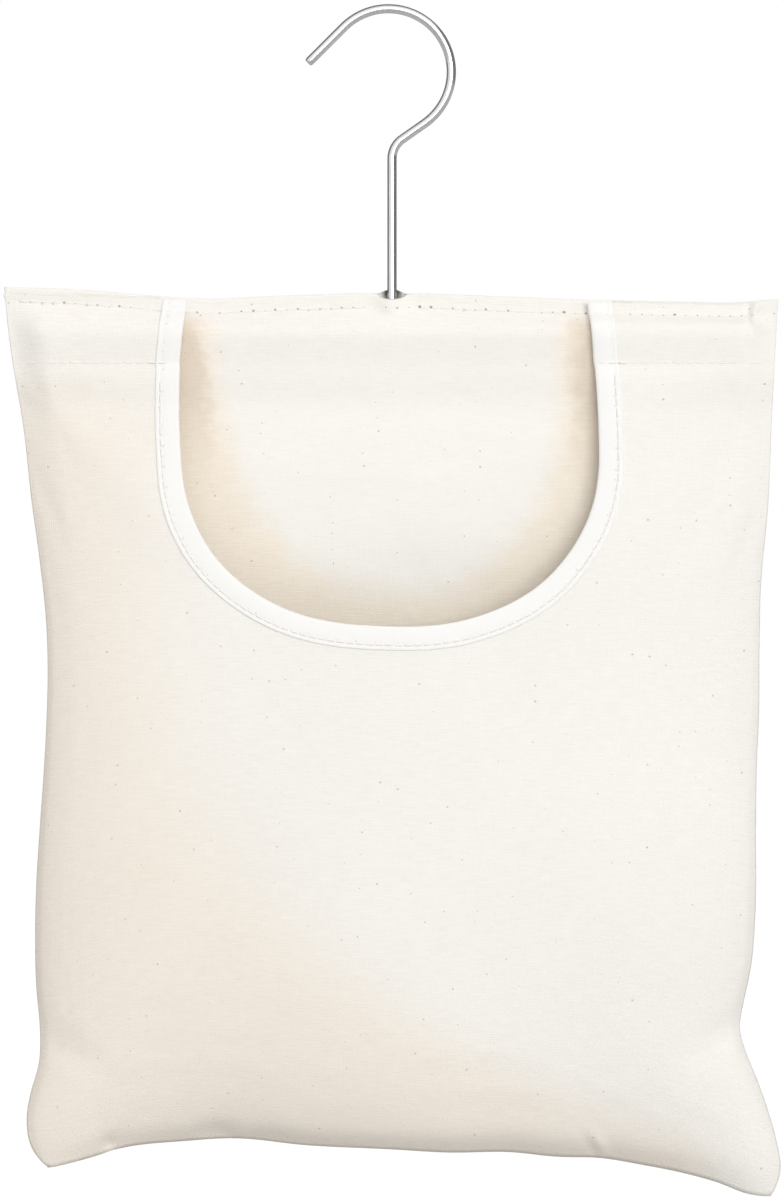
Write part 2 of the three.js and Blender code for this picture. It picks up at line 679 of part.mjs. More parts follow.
const stitching = new THREE.Group();
const rowEnd = BAG_WIDTH / 2 - 2 * CLOTH;
const slotEnd = SLOT_HALF_LENGTH * 0.6;
add(stitching, "top_thread_left", makeRow(-rowEnd, -slotEnd, RIDGE_HEIGHT, needleDepth), thread);
add(stitching, "top_thread_right", makeRow(slotEnd, rowEnd, RIDGE_HEIGHT, needleDepth), thread);
add(stitching, "top_bobbin_left", makeRow(-rowEnd, -slotEnd, RIDGE_HEIGHT, bobbinDepth), thread);
add(stitching, "top_bobbin_right", makeRow(slotEnd, rowEnd, RIDGE_HEIGHT, bobbinDepth), thread);
add(stitching, "channel_thread", makeRow(-rowEnd, rowEnd, CHANNEL_DROP, needleDepth), thread);
add(stitching, "channel_bobbin", makeRow(-rowEnd, rowEnd, CHANNEL_DROP, bobbinDepth), thread);
add(stitching, "binding_thread", makeBindingThread(), thread);
pouch.add(stitching);

const pegBag = new THREE.Group();
pegBag.add(hanger, pouch);

export default pegBag;
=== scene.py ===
"""Canvas peg bag on a swivel hook: the looks of every piece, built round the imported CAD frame.

The bag hangs by a plated wire hook from a wooden rod that lies in a sewn channel along its top edge.
Two canvas panels make the pouch, a white tape binds its U-shaped mouth, and the panels are cut flat,
sewn along the outline in which the bag hangs and settled by a cloth simulation.
Lengths are in millimetres until a mesh is made, and in metres in Blender.
"""

import logging
import math
from dataclasses import dataclass
from enum import Enum
from typing import Union

import bmesh
import bpy
import numpy as np
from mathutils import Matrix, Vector


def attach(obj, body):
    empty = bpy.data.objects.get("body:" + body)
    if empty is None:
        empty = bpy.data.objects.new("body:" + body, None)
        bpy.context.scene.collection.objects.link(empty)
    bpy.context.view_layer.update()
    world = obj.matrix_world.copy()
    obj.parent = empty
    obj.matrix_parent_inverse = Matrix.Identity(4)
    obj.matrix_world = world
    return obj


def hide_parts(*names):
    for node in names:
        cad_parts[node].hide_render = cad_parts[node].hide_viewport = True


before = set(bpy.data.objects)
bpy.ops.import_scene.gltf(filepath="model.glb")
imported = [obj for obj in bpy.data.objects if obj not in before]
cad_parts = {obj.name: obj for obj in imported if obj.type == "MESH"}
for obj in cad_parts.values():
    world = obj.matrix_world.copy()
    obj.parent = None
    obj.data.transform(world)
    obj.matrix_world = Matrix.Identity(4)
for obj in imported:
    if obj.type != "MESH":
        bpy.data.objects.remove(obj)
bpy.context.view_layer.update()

LOG = logging.getLogger("peg_bag")
MM = 0.001
TINY = 1e-9
MOSTLY = 0.9
CUT_MAP = "cut"

Points = np.ndarray
Span = tuple[float, float]
Triple = tuple[float, float, float]
Colour = Triple
Faces = list[tuple[int, ...]]
Piece = bpy.types.Object
Material = bpy.types.Material
Tree = bpy.types.NodeTree
Node = bpy.types.Node
Socket = bpy.types.NodeSocket
Value = Union[Socket, Colour, float]
Feeds = dict[Union[str, int], Value]
WHITE: Colour = (1.0, 1.0, 1.0)


class Body(Enum):
    """The CAD bodies that pieces ride on."""

    HOOK = "hook"
    BAG = "bag"


class Slot(Enum):
    """The record's material slots."""

    CANVAS = "canvas"
    TAPE = "binding_tape"
    THREAD = "sewing_thread"
    WIRE = "plated_wire"


class Side(Enum):
    """The left and right of someone who faces the bag."""

    LEFT = -1
    RIGHT = 1


class Seam(Enum):
    """The seams with an allowance inside the bag, by the share across the bag of their middles."""

    LEFT = -1.0
    RIGHT = 1.0
    BOTTOM = 0.0


class Face(Enum):
    """The front and back of the bag, as the sign of Y."""

    FRONT = -1
    BACK = 1


def ease(start: float, end: float, value: Points | float) -> Points:
    """A smooth step from 0 at start to 1 at end."""
    share = np.clip((np.asarray(value, float) - start) / (end - start), 0.0, 1.0)
    return share * share * (3.0 - 2.0 * share)


def spline(places: Points, values: Points, at: Points) -> Points:
    """A smooth curve through values.

    Args:
        places: Increasing places of the values.
        values: One value or one row of values for each place.
        at: Places to read the curve at.

    Returns:
        The values there, one row for each place in at.
    """
    places = np.asarray(places, float)
    values = np.asarray(values, float).reshape(len(places), -1)
    at = np.clip(np.asarray(at, float), places[0], places[-1])
    slopes = np.gradient(values, places, axis=0)
    start = np.clip(np.searchsorted(places, at, side="right") - 1, 0, len(places) - 2)
    span = (places[start + 1] - places[start])[..., None]
    t = (at - places[start])[..., None] / span
    low, high = values[start], values[start + 1]
    rise, fall = slopes[start] * span, slopes[start + 1] * span
    return (
        low * (2 * t**3 - 3 * t**2 + 1)
        + rise * (t**3 - 2 * t**2 + t)
        + high * (3 * t**2 - 2 * t**3)
        + fall * (t**3 - t**2)
    )


def run_lengths(points: Points) -> Points:
    """The distance along a chain of points to each of them."""
    steps = np.linalg.norm(np.diff(points, axis=0), axis=1)
    return np.concatenate([[0.0], np.cumsum(steps)])


def curve_through(points: Points, shares: Points) -> Points:
    """The points of a smooth curve through points, at shares of its length from 0 to 1."""
    points = np.asarray(points, float)
    run = run_lengths(points)
    return spline(run / run[-1], points, shares)


def read_along(run: Points, values: Points, at: Points) -> Points:
    """Rows of values that belong to the places of a run, read at other places."""
    return np.stack([np.interp(at, run, column) for column in values.T], axis=1)


def paired(first: Points, second: Points) -> Points:
    """Pairs of numbers, each spread over the rows and columns of the other."""
    return np.stack(np.broadcast_arrays(first, second), axis=-1)


def along_chain(points: Points, distances: Points) -> Points:
    """The points of a chain at distances along it."""
    return read_along(run_lengths(points), points, distances)


def unit(vectors: Points) -> Points:
    """The vectors with a length of 1."""
    size = np.linalg.norm(vectors, axis=-1, keepdims=True)
    return vectors / np.maximum(size, TINY)


def grid_normals(grid: Points) -> Points:
    """The normals of a grid of points, each as long as the faces round it are large."""
    return np.cross(np.gradient(grid, axis=0), np.gradient(grid, axis=1))


def grid_faces(rows: int, columns: int, start: int = 0, closed: bool = False) -> Faces:
    """The faces of a grid of points.

    Args:
        rows: How many rows of points it has.
        columns: How many points are in a row.
        start: The number of its first point.
        closed: Whether each row is a ring.

    Returns:
        Four point numbers for each face.
    """
    faces = []
    for i in range(rows - 1):
        for j in range(columns if closed else columns - 1):
            after = (j + 1) % columns
            near, far = start + i * columns, start + (i + 1) * columns
            faces.append((near + j, far + j, far + after, near + after))
    return faces


def tube_faces(rings: int, sides: int, start: int = 0) -> Faces:
    """The faces of a tube that is closed at both ends.

    Args:
        rings: How many rings of points it has.
        sides: How many points are in a ring.
        start: The number of its first point.

    Returns:
        The point numbers of each face.
    """
    last = start + (rings - 1) * sides
    ends = [tuple(range(start, start + sides))[::-1], tuple(range(last, last + sides))]
    return grid_faces(rings, sides, start, closed=True) + ends


def ring_angles(sides: int) -> Points:
    """The angles of the points of a ring."""
    return np.linspace(0.0, 2 * math.pi, sides, endpoint=False)


def tube(path: Points, radius: Points | float, sides: int) -> tuple[Points, Faces, Points]:
    """A closed round tube along a path.

    Args:
        path: The points of its middle.
        radius: Its radius, the same all along or one for each point.
        sides: How many points go round it.

    Returns:
        Points, faces and the length and girth of each point.
    """
    way = unit(np.gradient(path, axis=0))
    aside = np.zeros_like(way)
    hint = np.array((0.0, 1.0, 0.0)) if abs(way[0, 1]) < MOSTLY else np.array((1.0, 0.0, 0.0))
    for k in range(len(path)):
        hint = unit(hint - way[k] * np.dot(hint, way[k]))
        aside[k] = hint
    over = np.cross(way, aside)
    angles = ring_angles(sides)
    size = np.broadcast_to(np.asarray(radius, float), (len(path),))[:, None, None]
    ring = np.cos(angles)[None, :, None] * aside[:, None] + np.sin(angles)[None, :, None] * over[:, None]
    points = path[:, None] + ring * size
    flat = paired(run_lengths(path)[:, None], (angles / (2 * math.pi) / MM)[None, :])
    return points.reshape(-1, 3), tube_faces(len(path), sides), flat.reshape(-1, 2)


def put_in_scene(name: str, data: bpy.types.ID) -> Piece:
    """Makes an object of a mesh, a lamp or a camera and puts it in the scene."""
    made = bpy.data.objects.new(name, data)
    bpy.context.scene.collection.objects.link(made)
    return made


def make_piece(
    name: str, material: Material, points: Points, faces: Faces, cut: Points | None = None
) -> Piece:
    """Makes an object from points in millimetres.

    Args:
        name: The piece's name.
        material: Its finish.
        points: Its points, one row each.
        faces: The point numbers of each face.
        cut: The place of each point on the flat cut, for the weave.

    Returns:
        The object, in the scene and shaded smooth.
    """
    mesh = bpy.data.meshes.new(name)
    mesh.from_pydata((np.asarray(points).reshape(-1, 3) * MM).tolist(), [], faces)
    mesh.polygons.foreach_set("use_smooth", [True] * len(mesh.polygons))
    if cut is not None:
        layer = mesh.uv_layers.new(name=CUT_MAP)
        corners = np.empty(len(mesh.loops), np.int32)
        mesh.loops.foreach_get("vertex_index", corners)
        places = (np.asarray(cut, float).reshape(-1, 2) * MM)[corners]
        layer.data.foreach_set("uv", places.astype(np.float32).ravel())
    mesh.materials.append(material)
    mesh.update()
    return put_in_scene(name, mesh)


def face_out(piece: Piece) -> None:
    """Turns a closed piece's faces to point out.

    Args:
        piece: The piece, whose mesh is changed.
    """
    made = bmesh.new()
    made.from_mesh(piece.data)
    bmesh.ops.recalc_face_normals(made, faces=made.faces)
    made.to_mesh(piece.data)
    made.free()


def thicken(piece: Piece, thickness: float) -> bpy.types.Modifier:
    """Gives a sheet its thickness, after parting each of its faces into four.

    Args:
        piece: A single layer of faces.
        thickness: Its thickness in millimetres, half on each side.

    Returns:
        The modifier that makes the second face of the sheet.
    """
    parted = piece.modifiers.new("finer", "SUBSURF")
    parted.levels = parted.render_levels = 1
    parted.uv_smooth = "PRESERVE_BOUNDARIES"
    parted.boundary_smooth = "PRESERVE_CORNERS"
    solid = piece.modifiers.new("thickness", "SOLIDIFY")
    solid.thickness = thickness * MM
    solid.offset = 0.0
    return solid


def settle_in(piece: Piece, body: Body, slot: Slot, *nodes: str) -> None:
    """Lets a piece ride on a body and reports it.

    Args:
        piece: The piece.
        body: The body that it rides on.
        slot: The record's slot for its material; not used.
        nodes: The CAD nodes that it stands for.
    """
    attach(piece, body.value)
    if nodes:
        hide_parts(*nodes)
    LOG.info("%s: %d faces, on %s", piece.name, len(piece.data.polygons), body.value)


@dataclass(frozen=True)
class NodeSheet:
    """Lays nodes in one tree and links them."""

    tree: Tree

    def node(self, kind: str, feeds: Feeds | None = None, **settings: object) -> Node:
        """Adds a node.

        Args:
            kind: Blender's name for its type.
            feeds: What its inputs get, by their names or numbers.
            settings: The properties that it gets first, by their names.

        Returns:
            The node.
        """
        made = self.tree.nodes.new(kind)
        for name, value in settings.items():
            setattr(made, name, value)
        self.dress(made, feeds or {})
        return made

    def dress(self, node: Node, feeds: Feeds) -> None:
        """Feeds inputs of a node, by their names or numbers."""
        for name, value in feeds.items():
            self.feed(node.inputs[name], value)

    def feed(self, socket: Socket, value: Value) -> None:
        """Links a socket to another one, or sets it to a plain value.

        Args:
            socket: The input to feed.
            value: The output that feeds it, or the value that it keeps.
        """
        if isinstance(value, Socket):
            self.tree.links.new(value, socket)
        else:
            socket.default_value = (*value, 1.0) if socket.type == "RGBA" else value

    def math(self, operation: str, *values: Value) -> Socket:
        """Reckons with one to three values, by Blender's name for what is done with them."""
        return self.node("ShaderNodeMath", dict(enumerate(values)), operation=operation).outputs[0]

    def share(self, value: Value, low: float, high: float, kind: str = "LINEAR") -> Socket:
        """How far a value has come on its way from low to high, from 0 to 1."""
        feeds = {"Value": value, "From Min": low, "From Max": high}
        return self.node("ShaderNodeMapRange", feeds, interpolation_type=kind).outputs["Result"]

    def step(self, value: Value, low: float, high: float) -> Socket:
        """A smooth step of a value from 0 at low to 1 at high."""
        return self.share(value, low, high, "SMOOTHSTEP")

    def spread(self, value: Value, low: float, high: float) -> Socket:
        """A value from 0 to 1, spread between low and high."""
        feeds = {"Value": value, "To Min": low, "To Max": high}
        return self.node("ShaderNodeMapRange", feeds).outputs["Result"]

    def blend(self, factor: Value, first: Value, second: Value) -> Socket:
        """A number between two others, by the share of the second."""
        return self.node("ShaderNodeMix", {0: factor, 2: first, 3: second}, data_type="FLOAT").outputs[0]

    def mix(self, factor: Value, first: Value, second: Value, blend: str = "MIX") -> Socket:
        """A colour mixed from two others, by the share of the second and the way they mix."""
        feeds = {0: factor, 6: first, 7: second}
        return self.node("ShaderNodeMix", feeds, data_type="RGBA", blend_type=blend).outputs[2]

    def vector(self, x: Value, y: Value, z: Value = 0.0) -> Socket:
        """A vector from its three numbers."""
        return self.node("ShaderNodeCombineXYZ", {0: x, 1: y, 2: z}).outputs[0]

    def parts(self, vector: Value) -> tuple[Socket, Socket, Socket]:
        """The three numbers of a vector."""
        made = self.node("ShaderNodeSeparateXYZ", {0: vector})
        return made.outputs[0], made.outputs[1], made.outputs[2]

    def noise(self, place: Value, scale: Value, detail: float = 2.0, flat: bool = False) -> Socket:
        """A soft random value from 0 to 1, which changes scale times in a metre, or a flat one of X and Y."""
        feeds = {"Vector": place, "Scale": scale, "Detail": detail}
        return self.node("ShaderNodeTexNoise", feeds, noise_dimensions="2D" if flat else "3D").outputs["Fac"]

    def effect(self, group: Tree, **values: Value) -> Node:
        """Places an effect group with its own values."""
        return self.node("ShaderNodeGroup", values, node_tree=group)

    def cut_place(self) -> Socket:
        """The place on a piece's flat cut, in metres."""
        return self.node("ShaderNodeUVMap", uv_map=CUT_MAP).outputs["UV"]

    def relief(self, height: Value, strength: float, depth: float) -> Socket:
        """The normal of a surface whose height, from 0 to 1, rises by depth millimetres."""
        feeds = {"Strength": strength, "Distance": depth * MM, "Height": height}
        return self.node("ShaderNodeBump", feeds).outputs["Normal"]


@dataclass
class Effects:
    """Shader node groups that more than one finish uses, each built once."""

    yarn_bend: float = 0.9
    bend_scale: float = 160.0
    crossing: float = 0.4
    slub_scale: float = 1.3
    warp_slub_run: float = 0.08
    weft_slub_run: float = 0.07
    warp_slub_share: float = 0.4
    slub_relief: float = 0.7
    rib: float = 0.06
    rib_yarns: float = 3.0
    hole_shift: Span = (0.44, 0.56)
    hole_size: Span = (0.35, 1.1)
    hole_edge: Span = (0.45, 1.0)
    hole_depth: Span = (0.25, 1.0)
    tone_detail: float = 3.0
    tone_ends: Span = (0.3, 0.72)

    def __post_init__(self) -> None:
        """Builds every group."""
        self.weave = self.build_weave()
        self.needle_marks = self.build_needle_marks()
        self.handling = self.build_handling()

    def start(
        self, name: str, inputs: dict[str, str], outputs: dict[str, str]
    ) -> tuple[NodeSheet, Node, Node]:
        """Starts a group.

        Args:
            name: The group's name.
            inputs: The kind of each input, by its name.
            outputs: The kind of each output, by its name.

        Returns:
            The sheet to lay its nodes on, its input node and its output node.
        """
        group = bpy.data.node_groups.new(name, "ShaderNodeTree")
        for way, sockets in (("INPUT", inputs), ("OUTPUT", outputs)):
            for label, kind in sockets.items():
                group.interface.new_socket(name=label, in_out=way, socket_type=f"NodeSocket{kind}")
        sheet = NodeSheet(group)
        return sheet, sheet.node("NodeGroupInput"), sheet.node("NodeGroupOutput")

    def build_weave(self) -> Tree:
        """Builds a plain weave.

        Returns:
            The group, which gives the height of the yarns and how pale each yarn is along its length.
        """
        sheet, given, out = self.start(
            "plain_weave",
            {"Place": "Vector", "Pitch": "Float", "Slub": "Float"},
            {"Height": "Float", "Shade": "Float"},
        )
        place, pitch = given.outputs["Place"], given.outputs["Pitch"]
        along, down, _ = sheet.parts(place)
        bend = sheet.math("MULTIPLY", sheet.noise(place, self.bend_scale, flat=True), self.yarn_bend)
        warp = sheet.math("ADD", sheet.math("DIVIDE", along, pitch), bend)
        weft = sheet.math("ADD", sheet.math("DIVIDE", down, pitch), bend)
        warp_wave = sheet.math("SINE", sheet.math("MULTIPLY", warp, math.pi))
        weft_wave = sheet.math("SINE", sheet.math("MULTIPLY", weft, math.pi))
        over = sheet.math("MULTIPLY", warp_wave, weft_wave)
        warp_top = sheet.math("MULTIPLY_ADD", over, self.crossing, 1.0 - self.crossing)
        weft_top = sheet.math("MULTIPLY_ADD", over, -self.crossing, 1.0 - self.crossing)
        warp_height = sheet.math("MULTIPLY", sheet.math("ABSOLUTE", warp_wave), warp_top)
        weft_height = sheet.math("MULTIPLY", sheet.math("ABSOLUTE", weft_wave), weft_top)
        height = sheet.math("MAXIMUM", warp_height, weft_height)
        warp_run = sheet.vector(warp, sheet.math("MULTIPLY", weft, self.warp_slub_run))
        weft_run = sheet.vector(sheet.math("MULTIPLY", warp, self.weft_slub_run), weft)
        warp_slub = sheet.noise(warp_run, self.slub_scale, 1.0, flat=True)
        weft_slub = sheet.noise(weft_run, self.slub_scale, 1.0, flat=True)
        turn = 2.0 * math.pi / self.rib_yarns
        slanted = sheet.math("MULTIPLY", sheet.math("SUBTRACT", warp, weft), turn)
        rib = sheet.math("MULTIPLY", sheet.math("SINE", slanted), self.rib)
        warp_slub = sheet.math("SUBTRACT", warp_slub, 0.5)
        uneven = sheet.math("MULTIPLY_ADD", warp_slub, self.warp_slub_share, rib)
        uneven = sheet.math("ADD", sheet.math("SUBTRACT", weft_slub, 0.5), uneven)
        shade = sheet.math("MULTIPLY_ADD", uneven, given.outputs["Slub"], 0.5)
        height = sheet.math("MULTIPLY_ADD", uneven, self.slub_relief, height)
        sheet.dress(out, {"Height": height, "Shade": shade})
        return sheet.tree

    def build_needle_marks(self) -> Tree:
        """Builds the needle holes along a row of stitches.

        Returns:
            The group, which gives the holes as a mask.
        """
        sheet, given, out = self.start(
            "needle_marks",
            {"Along": "Float", "Off": "Float", "Pitch": "Float", "Radius": "Float"},
            {"Mask": "Float"},
        )
        pitch, radius = given.outputs["Pitch"], given.outputs["Radius"]
        count = sheet.math("DIVIDE", given.outputs["Along"], pitch)
        number = sheet.math("FLOOR", count)
        chance = sheet.node("ShaderNodeTexWhiteNoise", {"W": number}, noise_dimensions="1D")
        open_by, shift, deep = sheet.parts(chance.outputs["Color"])
        middle = sheet.spread(shift, *self.hole_shift)
        beside = sheet.math("MULTIPLY", sheet.math("SUBTRACT", sheet.math("FRACT", count), middle), pitch)
        lower = sheet.math("MULTIPLY", sheet.math("SUBTRACT", deep, 0.5), radius)
        off = sheet.math("ADD", given.outputs["Off"], lower)
        square = sheet.math("ADD", sheet.math("MULTIPLY", beside, beside), sheet.math("MULTIPLY", off, off))
        reach = sheet.math("MULTIPLY", radius, sheet.spread(open_by, *self.hole_size))
        far = sheet.math("DIVIDE", sheet.math("SQRT", square), reach)
        mask = sheet.math("SUBTRACT", 1.0, sheet.step(far, *self.hole_edge))
        depth = sheet.spread(deep, *self.hole_depth)
        sheet.dress(out, {"Mask": sheet.math("MULTIPLY", mask, depth)})
        return sheet.tree

    def build_handling(self) -> Tree:
        """Builds the soft uneven tone of what has been washed and handled.

        Returns:
            The group, which gives the tone from 0 to 1.
        """
        sheet, given, out = self.start(
            "handling", {"Place": "Vector", "Scale": "Float"}, {"Tone": "Float"}
        )
        noise = sheet.noise(given.outputs["Place"], given.outputs["Scale"], self.tone_detail)
        sheet.dress(out, {"Tone": sheet.step(noise, *self.tone_ends)})
        return sheet.tree


def start_material(name: str) -> tuple[Material, NodeSheet, Node]:
    """Starts a material with one Principled shader.

    Args:
        name: The material's name.

    Returns:
        The material, the sheet to lay its nodes on and the shader.
    """
    material = bpy.data.materials.new(name)
    material.use_nodes = True
    sheet = NodeSheet(material.node_tree)
    return material, sheet, material.node_tree.nodes["Principled BSDF"]


@dataclass(frozen=True)
class CanvasFinish:
    """Unbleached cotton canvas with seed flecks, and painted shade that darkens and warms the bag's left side
    and foot.
    """

    effects: Effects
    name: str = "canvas_face"
    colour: Colour = (0.93, 0.916, 0.882)
    deep: Colour = (0.835, 0.804, 0.75)
    fleck: Colour = (0.42, 0.31, 0.19)
    fleck_depth: float = 0.5
    fleck_spacing: float = 6.5
    fleck_chance: float = 0.62
    fleck_sizes: Span = (0.03, 0.08)
    fleck_edge: float = 0.02
    fleck_wander: Span = (0.9, 0.4)
    fleck_wander_scale: float = 900.0
    # painted shade: the needle holes are darkened in colour for the shadow inside them
    hole: Colour = (0.25, 0.21, 0.16)
    # painted shade: a darker, warmer tint over the bag's left side and along its foot, where the cloth turns
    # from the key lamp
    painted_shade_tint: Colour = (1.0, 0.95, 0.895)
    painted_shade_left: float = -100.0
    painted_shade_spread: float = 178.0
    painted_shade_start: Span = (12.0, 60.0)
    painted_shade_drops: Span = (60.0, 315.0)
    painted_shade_power: float = 3.5
    painted_shade_softness: float = 35.0
    foot_shade_drops: Span = (308.0, 331.0)
    foot_shade_ends: Span = (130.0, 98.0)
    # painted shadow: a dark mark on the lip of the slot round the shank
    painted_slot_shadow: Colour = (0.15, 0.13, 0.11)
    slot_shadow_reach: Span = (2.4, 5.2)
    slot_shadow_drop: float = 1.2
    yarn_pitch: float = 0.7
    slub: float = 0.8
    yarn_share: float = 0.55
    yarn_shades: Span = (0.72, 1.18)
    tone_scale: float = 14.0
    tones: Span = (-0.05, 0.07)
    roughness: Span = (0.97, 0.86)
    specular: float = 0.25
    sheen: float = 0.12
    relief: Span = (0.55, 0.18)
    stitch_pitch: float = 4.2
    stitch_rows: tuple[Triple, ...] = ((5.5, 0.8, 0.85), (26.0, 0.5, 0.22))

    def material(self) -> Material:
        """Makes the material.

        Returns:
            The material, which reads the piece's flat cut.
        """
        material, sheet, shader = start_material(self.name)
        place = sheet.cut_place()
        weave = sheet.effect(self.effects.weave, Place=place, Pitch=self.yarn_pitch * MM, Slub=self.slub)
        tone = sheet.effect(self.effects.handling, Place=place, Scale=self.tone_scale).outputs["Tone"]
        height = weave.outputs["Height"]
        lit = sheet.math("MULTIPLY_ADD", height, self.yarn_share, 1.0 - self.yarn_share)
        pale = sheet.math("MULTIPLY", lit, sheet.spread(weave.outputs["Shade"], *self.yarn_shades))
        pale = sheet.math("ADD", pale, sheet.spread(tone, *self.tones))
        pale = sheet.math("MINIMUM", sheet.math("MAXIMUM", pale, 0.0), 1.0)
        colour = sheet.mix(pale, *self.yarn_colours(sheet, place))
        # painted shade on the bag's left side and foot
        colour = sheet.mix(self.painted_shade(sheet, place), colour, self.painted_shade_tint, "MULTIPLY")
        flecks = sheet.math("MULTIPLY", self.flecks(sheet, place), self.fleck_depth)
        colour = sheet.mix(flecks, colour, self.fleck)
        holes = self.holes(sheet, place)
        # painted shade in the needle holes
        colour = sheet.mix(holes, colour, self.hole)
        # painted shadow round the shank's slot
        colour = sheet.mix(self.slot_shadow(sheet, place), colour, self.painted_slot_shadow)
        feeds = {
            "Base Color": colour,
            "Roughness": sheet.spread(height, *self.roughness),
            "Specular IOR Level": self.specular,
            "Sheen Weight": self.sheen,
            "Normal": sheet.relief(sheet.math("SUBTRACT", height, holes), *self.relief),
        }
        sheet.dress(shader, feeds)
        return material

    def yarn_colours(self, sheet: NodeSheet, place: Socket) -> tuple[Value, Value]:
        """The colours between the yarns and on top of them."""
        return self.deep, self.colour

    def painted_shade(self, sheet: NodeSheet, place: Socket) -> Socket:
        """Painted shade: a darker, warmer tint from the bag's left side to its foot, where the cloth turns
        from the light.

        Args:
            sheet: The material's sheet of nodes.
            place: The place on the flat cut.

        Returns:
            A mask.
        """
        along, down, _ = sheet.parts(place)
        first, last = self.painted_shade_drops
        lower = sheet.math("POWER", sheet.share(down, -first * MM, -last * MM), self.painted_shade_power)
        edge = sheet.math("MULTIPLY_ADD", lower, self.painted_shade_spread * MM, self.painted_shade_left * MM)
        inside = sheet.math("SUBTRACT", edge, along)
        mask = sheet.step(inside, -self.painted_shade_softness * MM, self.painted_shade_softness * MM)
        start, full = self.painted_shade_start
        side = sheet.math("MULTIPLY", mask, sheet.step(down, -start * MM, -full * MM))
        # painted shade along the foot, where the bottom curves under
        high, low = self.foot_shade_drops
        outer, inner = self.foot_shade_ends
        ends = sheet.step(along, outer * MM, inner * MM)
        foot = sheet.math("MULTIPLY", sheet.step(down, -high * MM, -low * MM), ends)
        return sheet.math("MAXIMUM", side, foot)

    def slot_shadow(self, sheet: NodeSheet, place: Socket) -> Socket:
        """Painted shadow on the lip of the slot that the shank turns in.

        Args:
            sheet: The material's sheet of nodes.
            place: The place on the flat cut.

        Returns:
            A mask.
        """
        along, down, _ = sheet.parts(place)
        square = sheet.math("MULTIPLY_ADD", along, along, sheet.math("MULTIPLY", down, down))
        near, far = self.slot_shadow_reach
        beside = sheet.step(sheet.math("SQRT", square), far * MM, near * MM)
        return sheet.math("MULTIPLY", beside, sheet.step(down, -self.slot_shadow_drop * MM, 0.0))

    def flecks(self, sheet: NodeSheet, place: Socket) -> Socket:
        """Bits of seed husk left in the yarn.

        Args:
            sheet: The material's sheet of nodes.
            place: The place on the flat cut.

        Returns:
            A mask.
        """
        wander = sheet.noise(place, self.fleck_wander_scale, flat=True)
        sizes = (self.fleck_wander[0] * MM, self.fleck_wander[1] * MM, 0.0)
        feeds = {0: sheet.vector(wander, wander), 1: sizes, 2: place}
        moved = sheet.node("ShaderNodeVectorMath", feeds, operation="MULTIPLY_ADD").outputs[0]
        feeds = {"Vector": moved, "Scale": 1.0 / (self.fleck_spacing * MM)}
        cells = sheet.node("ShaderNodeTexVoronoi", feeds, voronoi_dimensions="2D", feature="F1")
        chance, size, _ = sheet.parts(cells.outputs["Color"])
        there = sheet.step(chance, self.fleck_chance, 1.0)
        reach = sheet.math("MULTIPLY", there, sheet.spread(size, *self.fleck_sizes))
        near = sheet.math("SUBTRACT", reach, cells.outputs["Distance"])
        return sheet.step(near, 0.0, self.fleck_edge)

    def holes(self, sheet: NodeSheet, place: Socket) -> Socket:
        """Needle holes of the rows that run across the bag's top.

        Args:
            sheet: The material's sheet of nodes.
            place: The place on the flat cut.

        Returns:
            A mask.
        """
        along, down, _ = sheet.parts(place)
        below = sheet.math("ABSOLUTE", down)
        mask: Value = 0.0
        for drop, radius, depth in self.stitch_rows:
            off = sheet.math("SUBTRACT", below, drop * MM)
            sizes = {"Pitch": self.stitch_pitch * MM, "Radius": radius * MM}
            marks = sheet.effect(self.effects.needle_marks, Along=along, Off=off, **sizes).outputs["Mask"]
            mask = sheet.math("MAXIMUM", mask, sheet.math("MULTIPLY", marks, depth))
        return mask


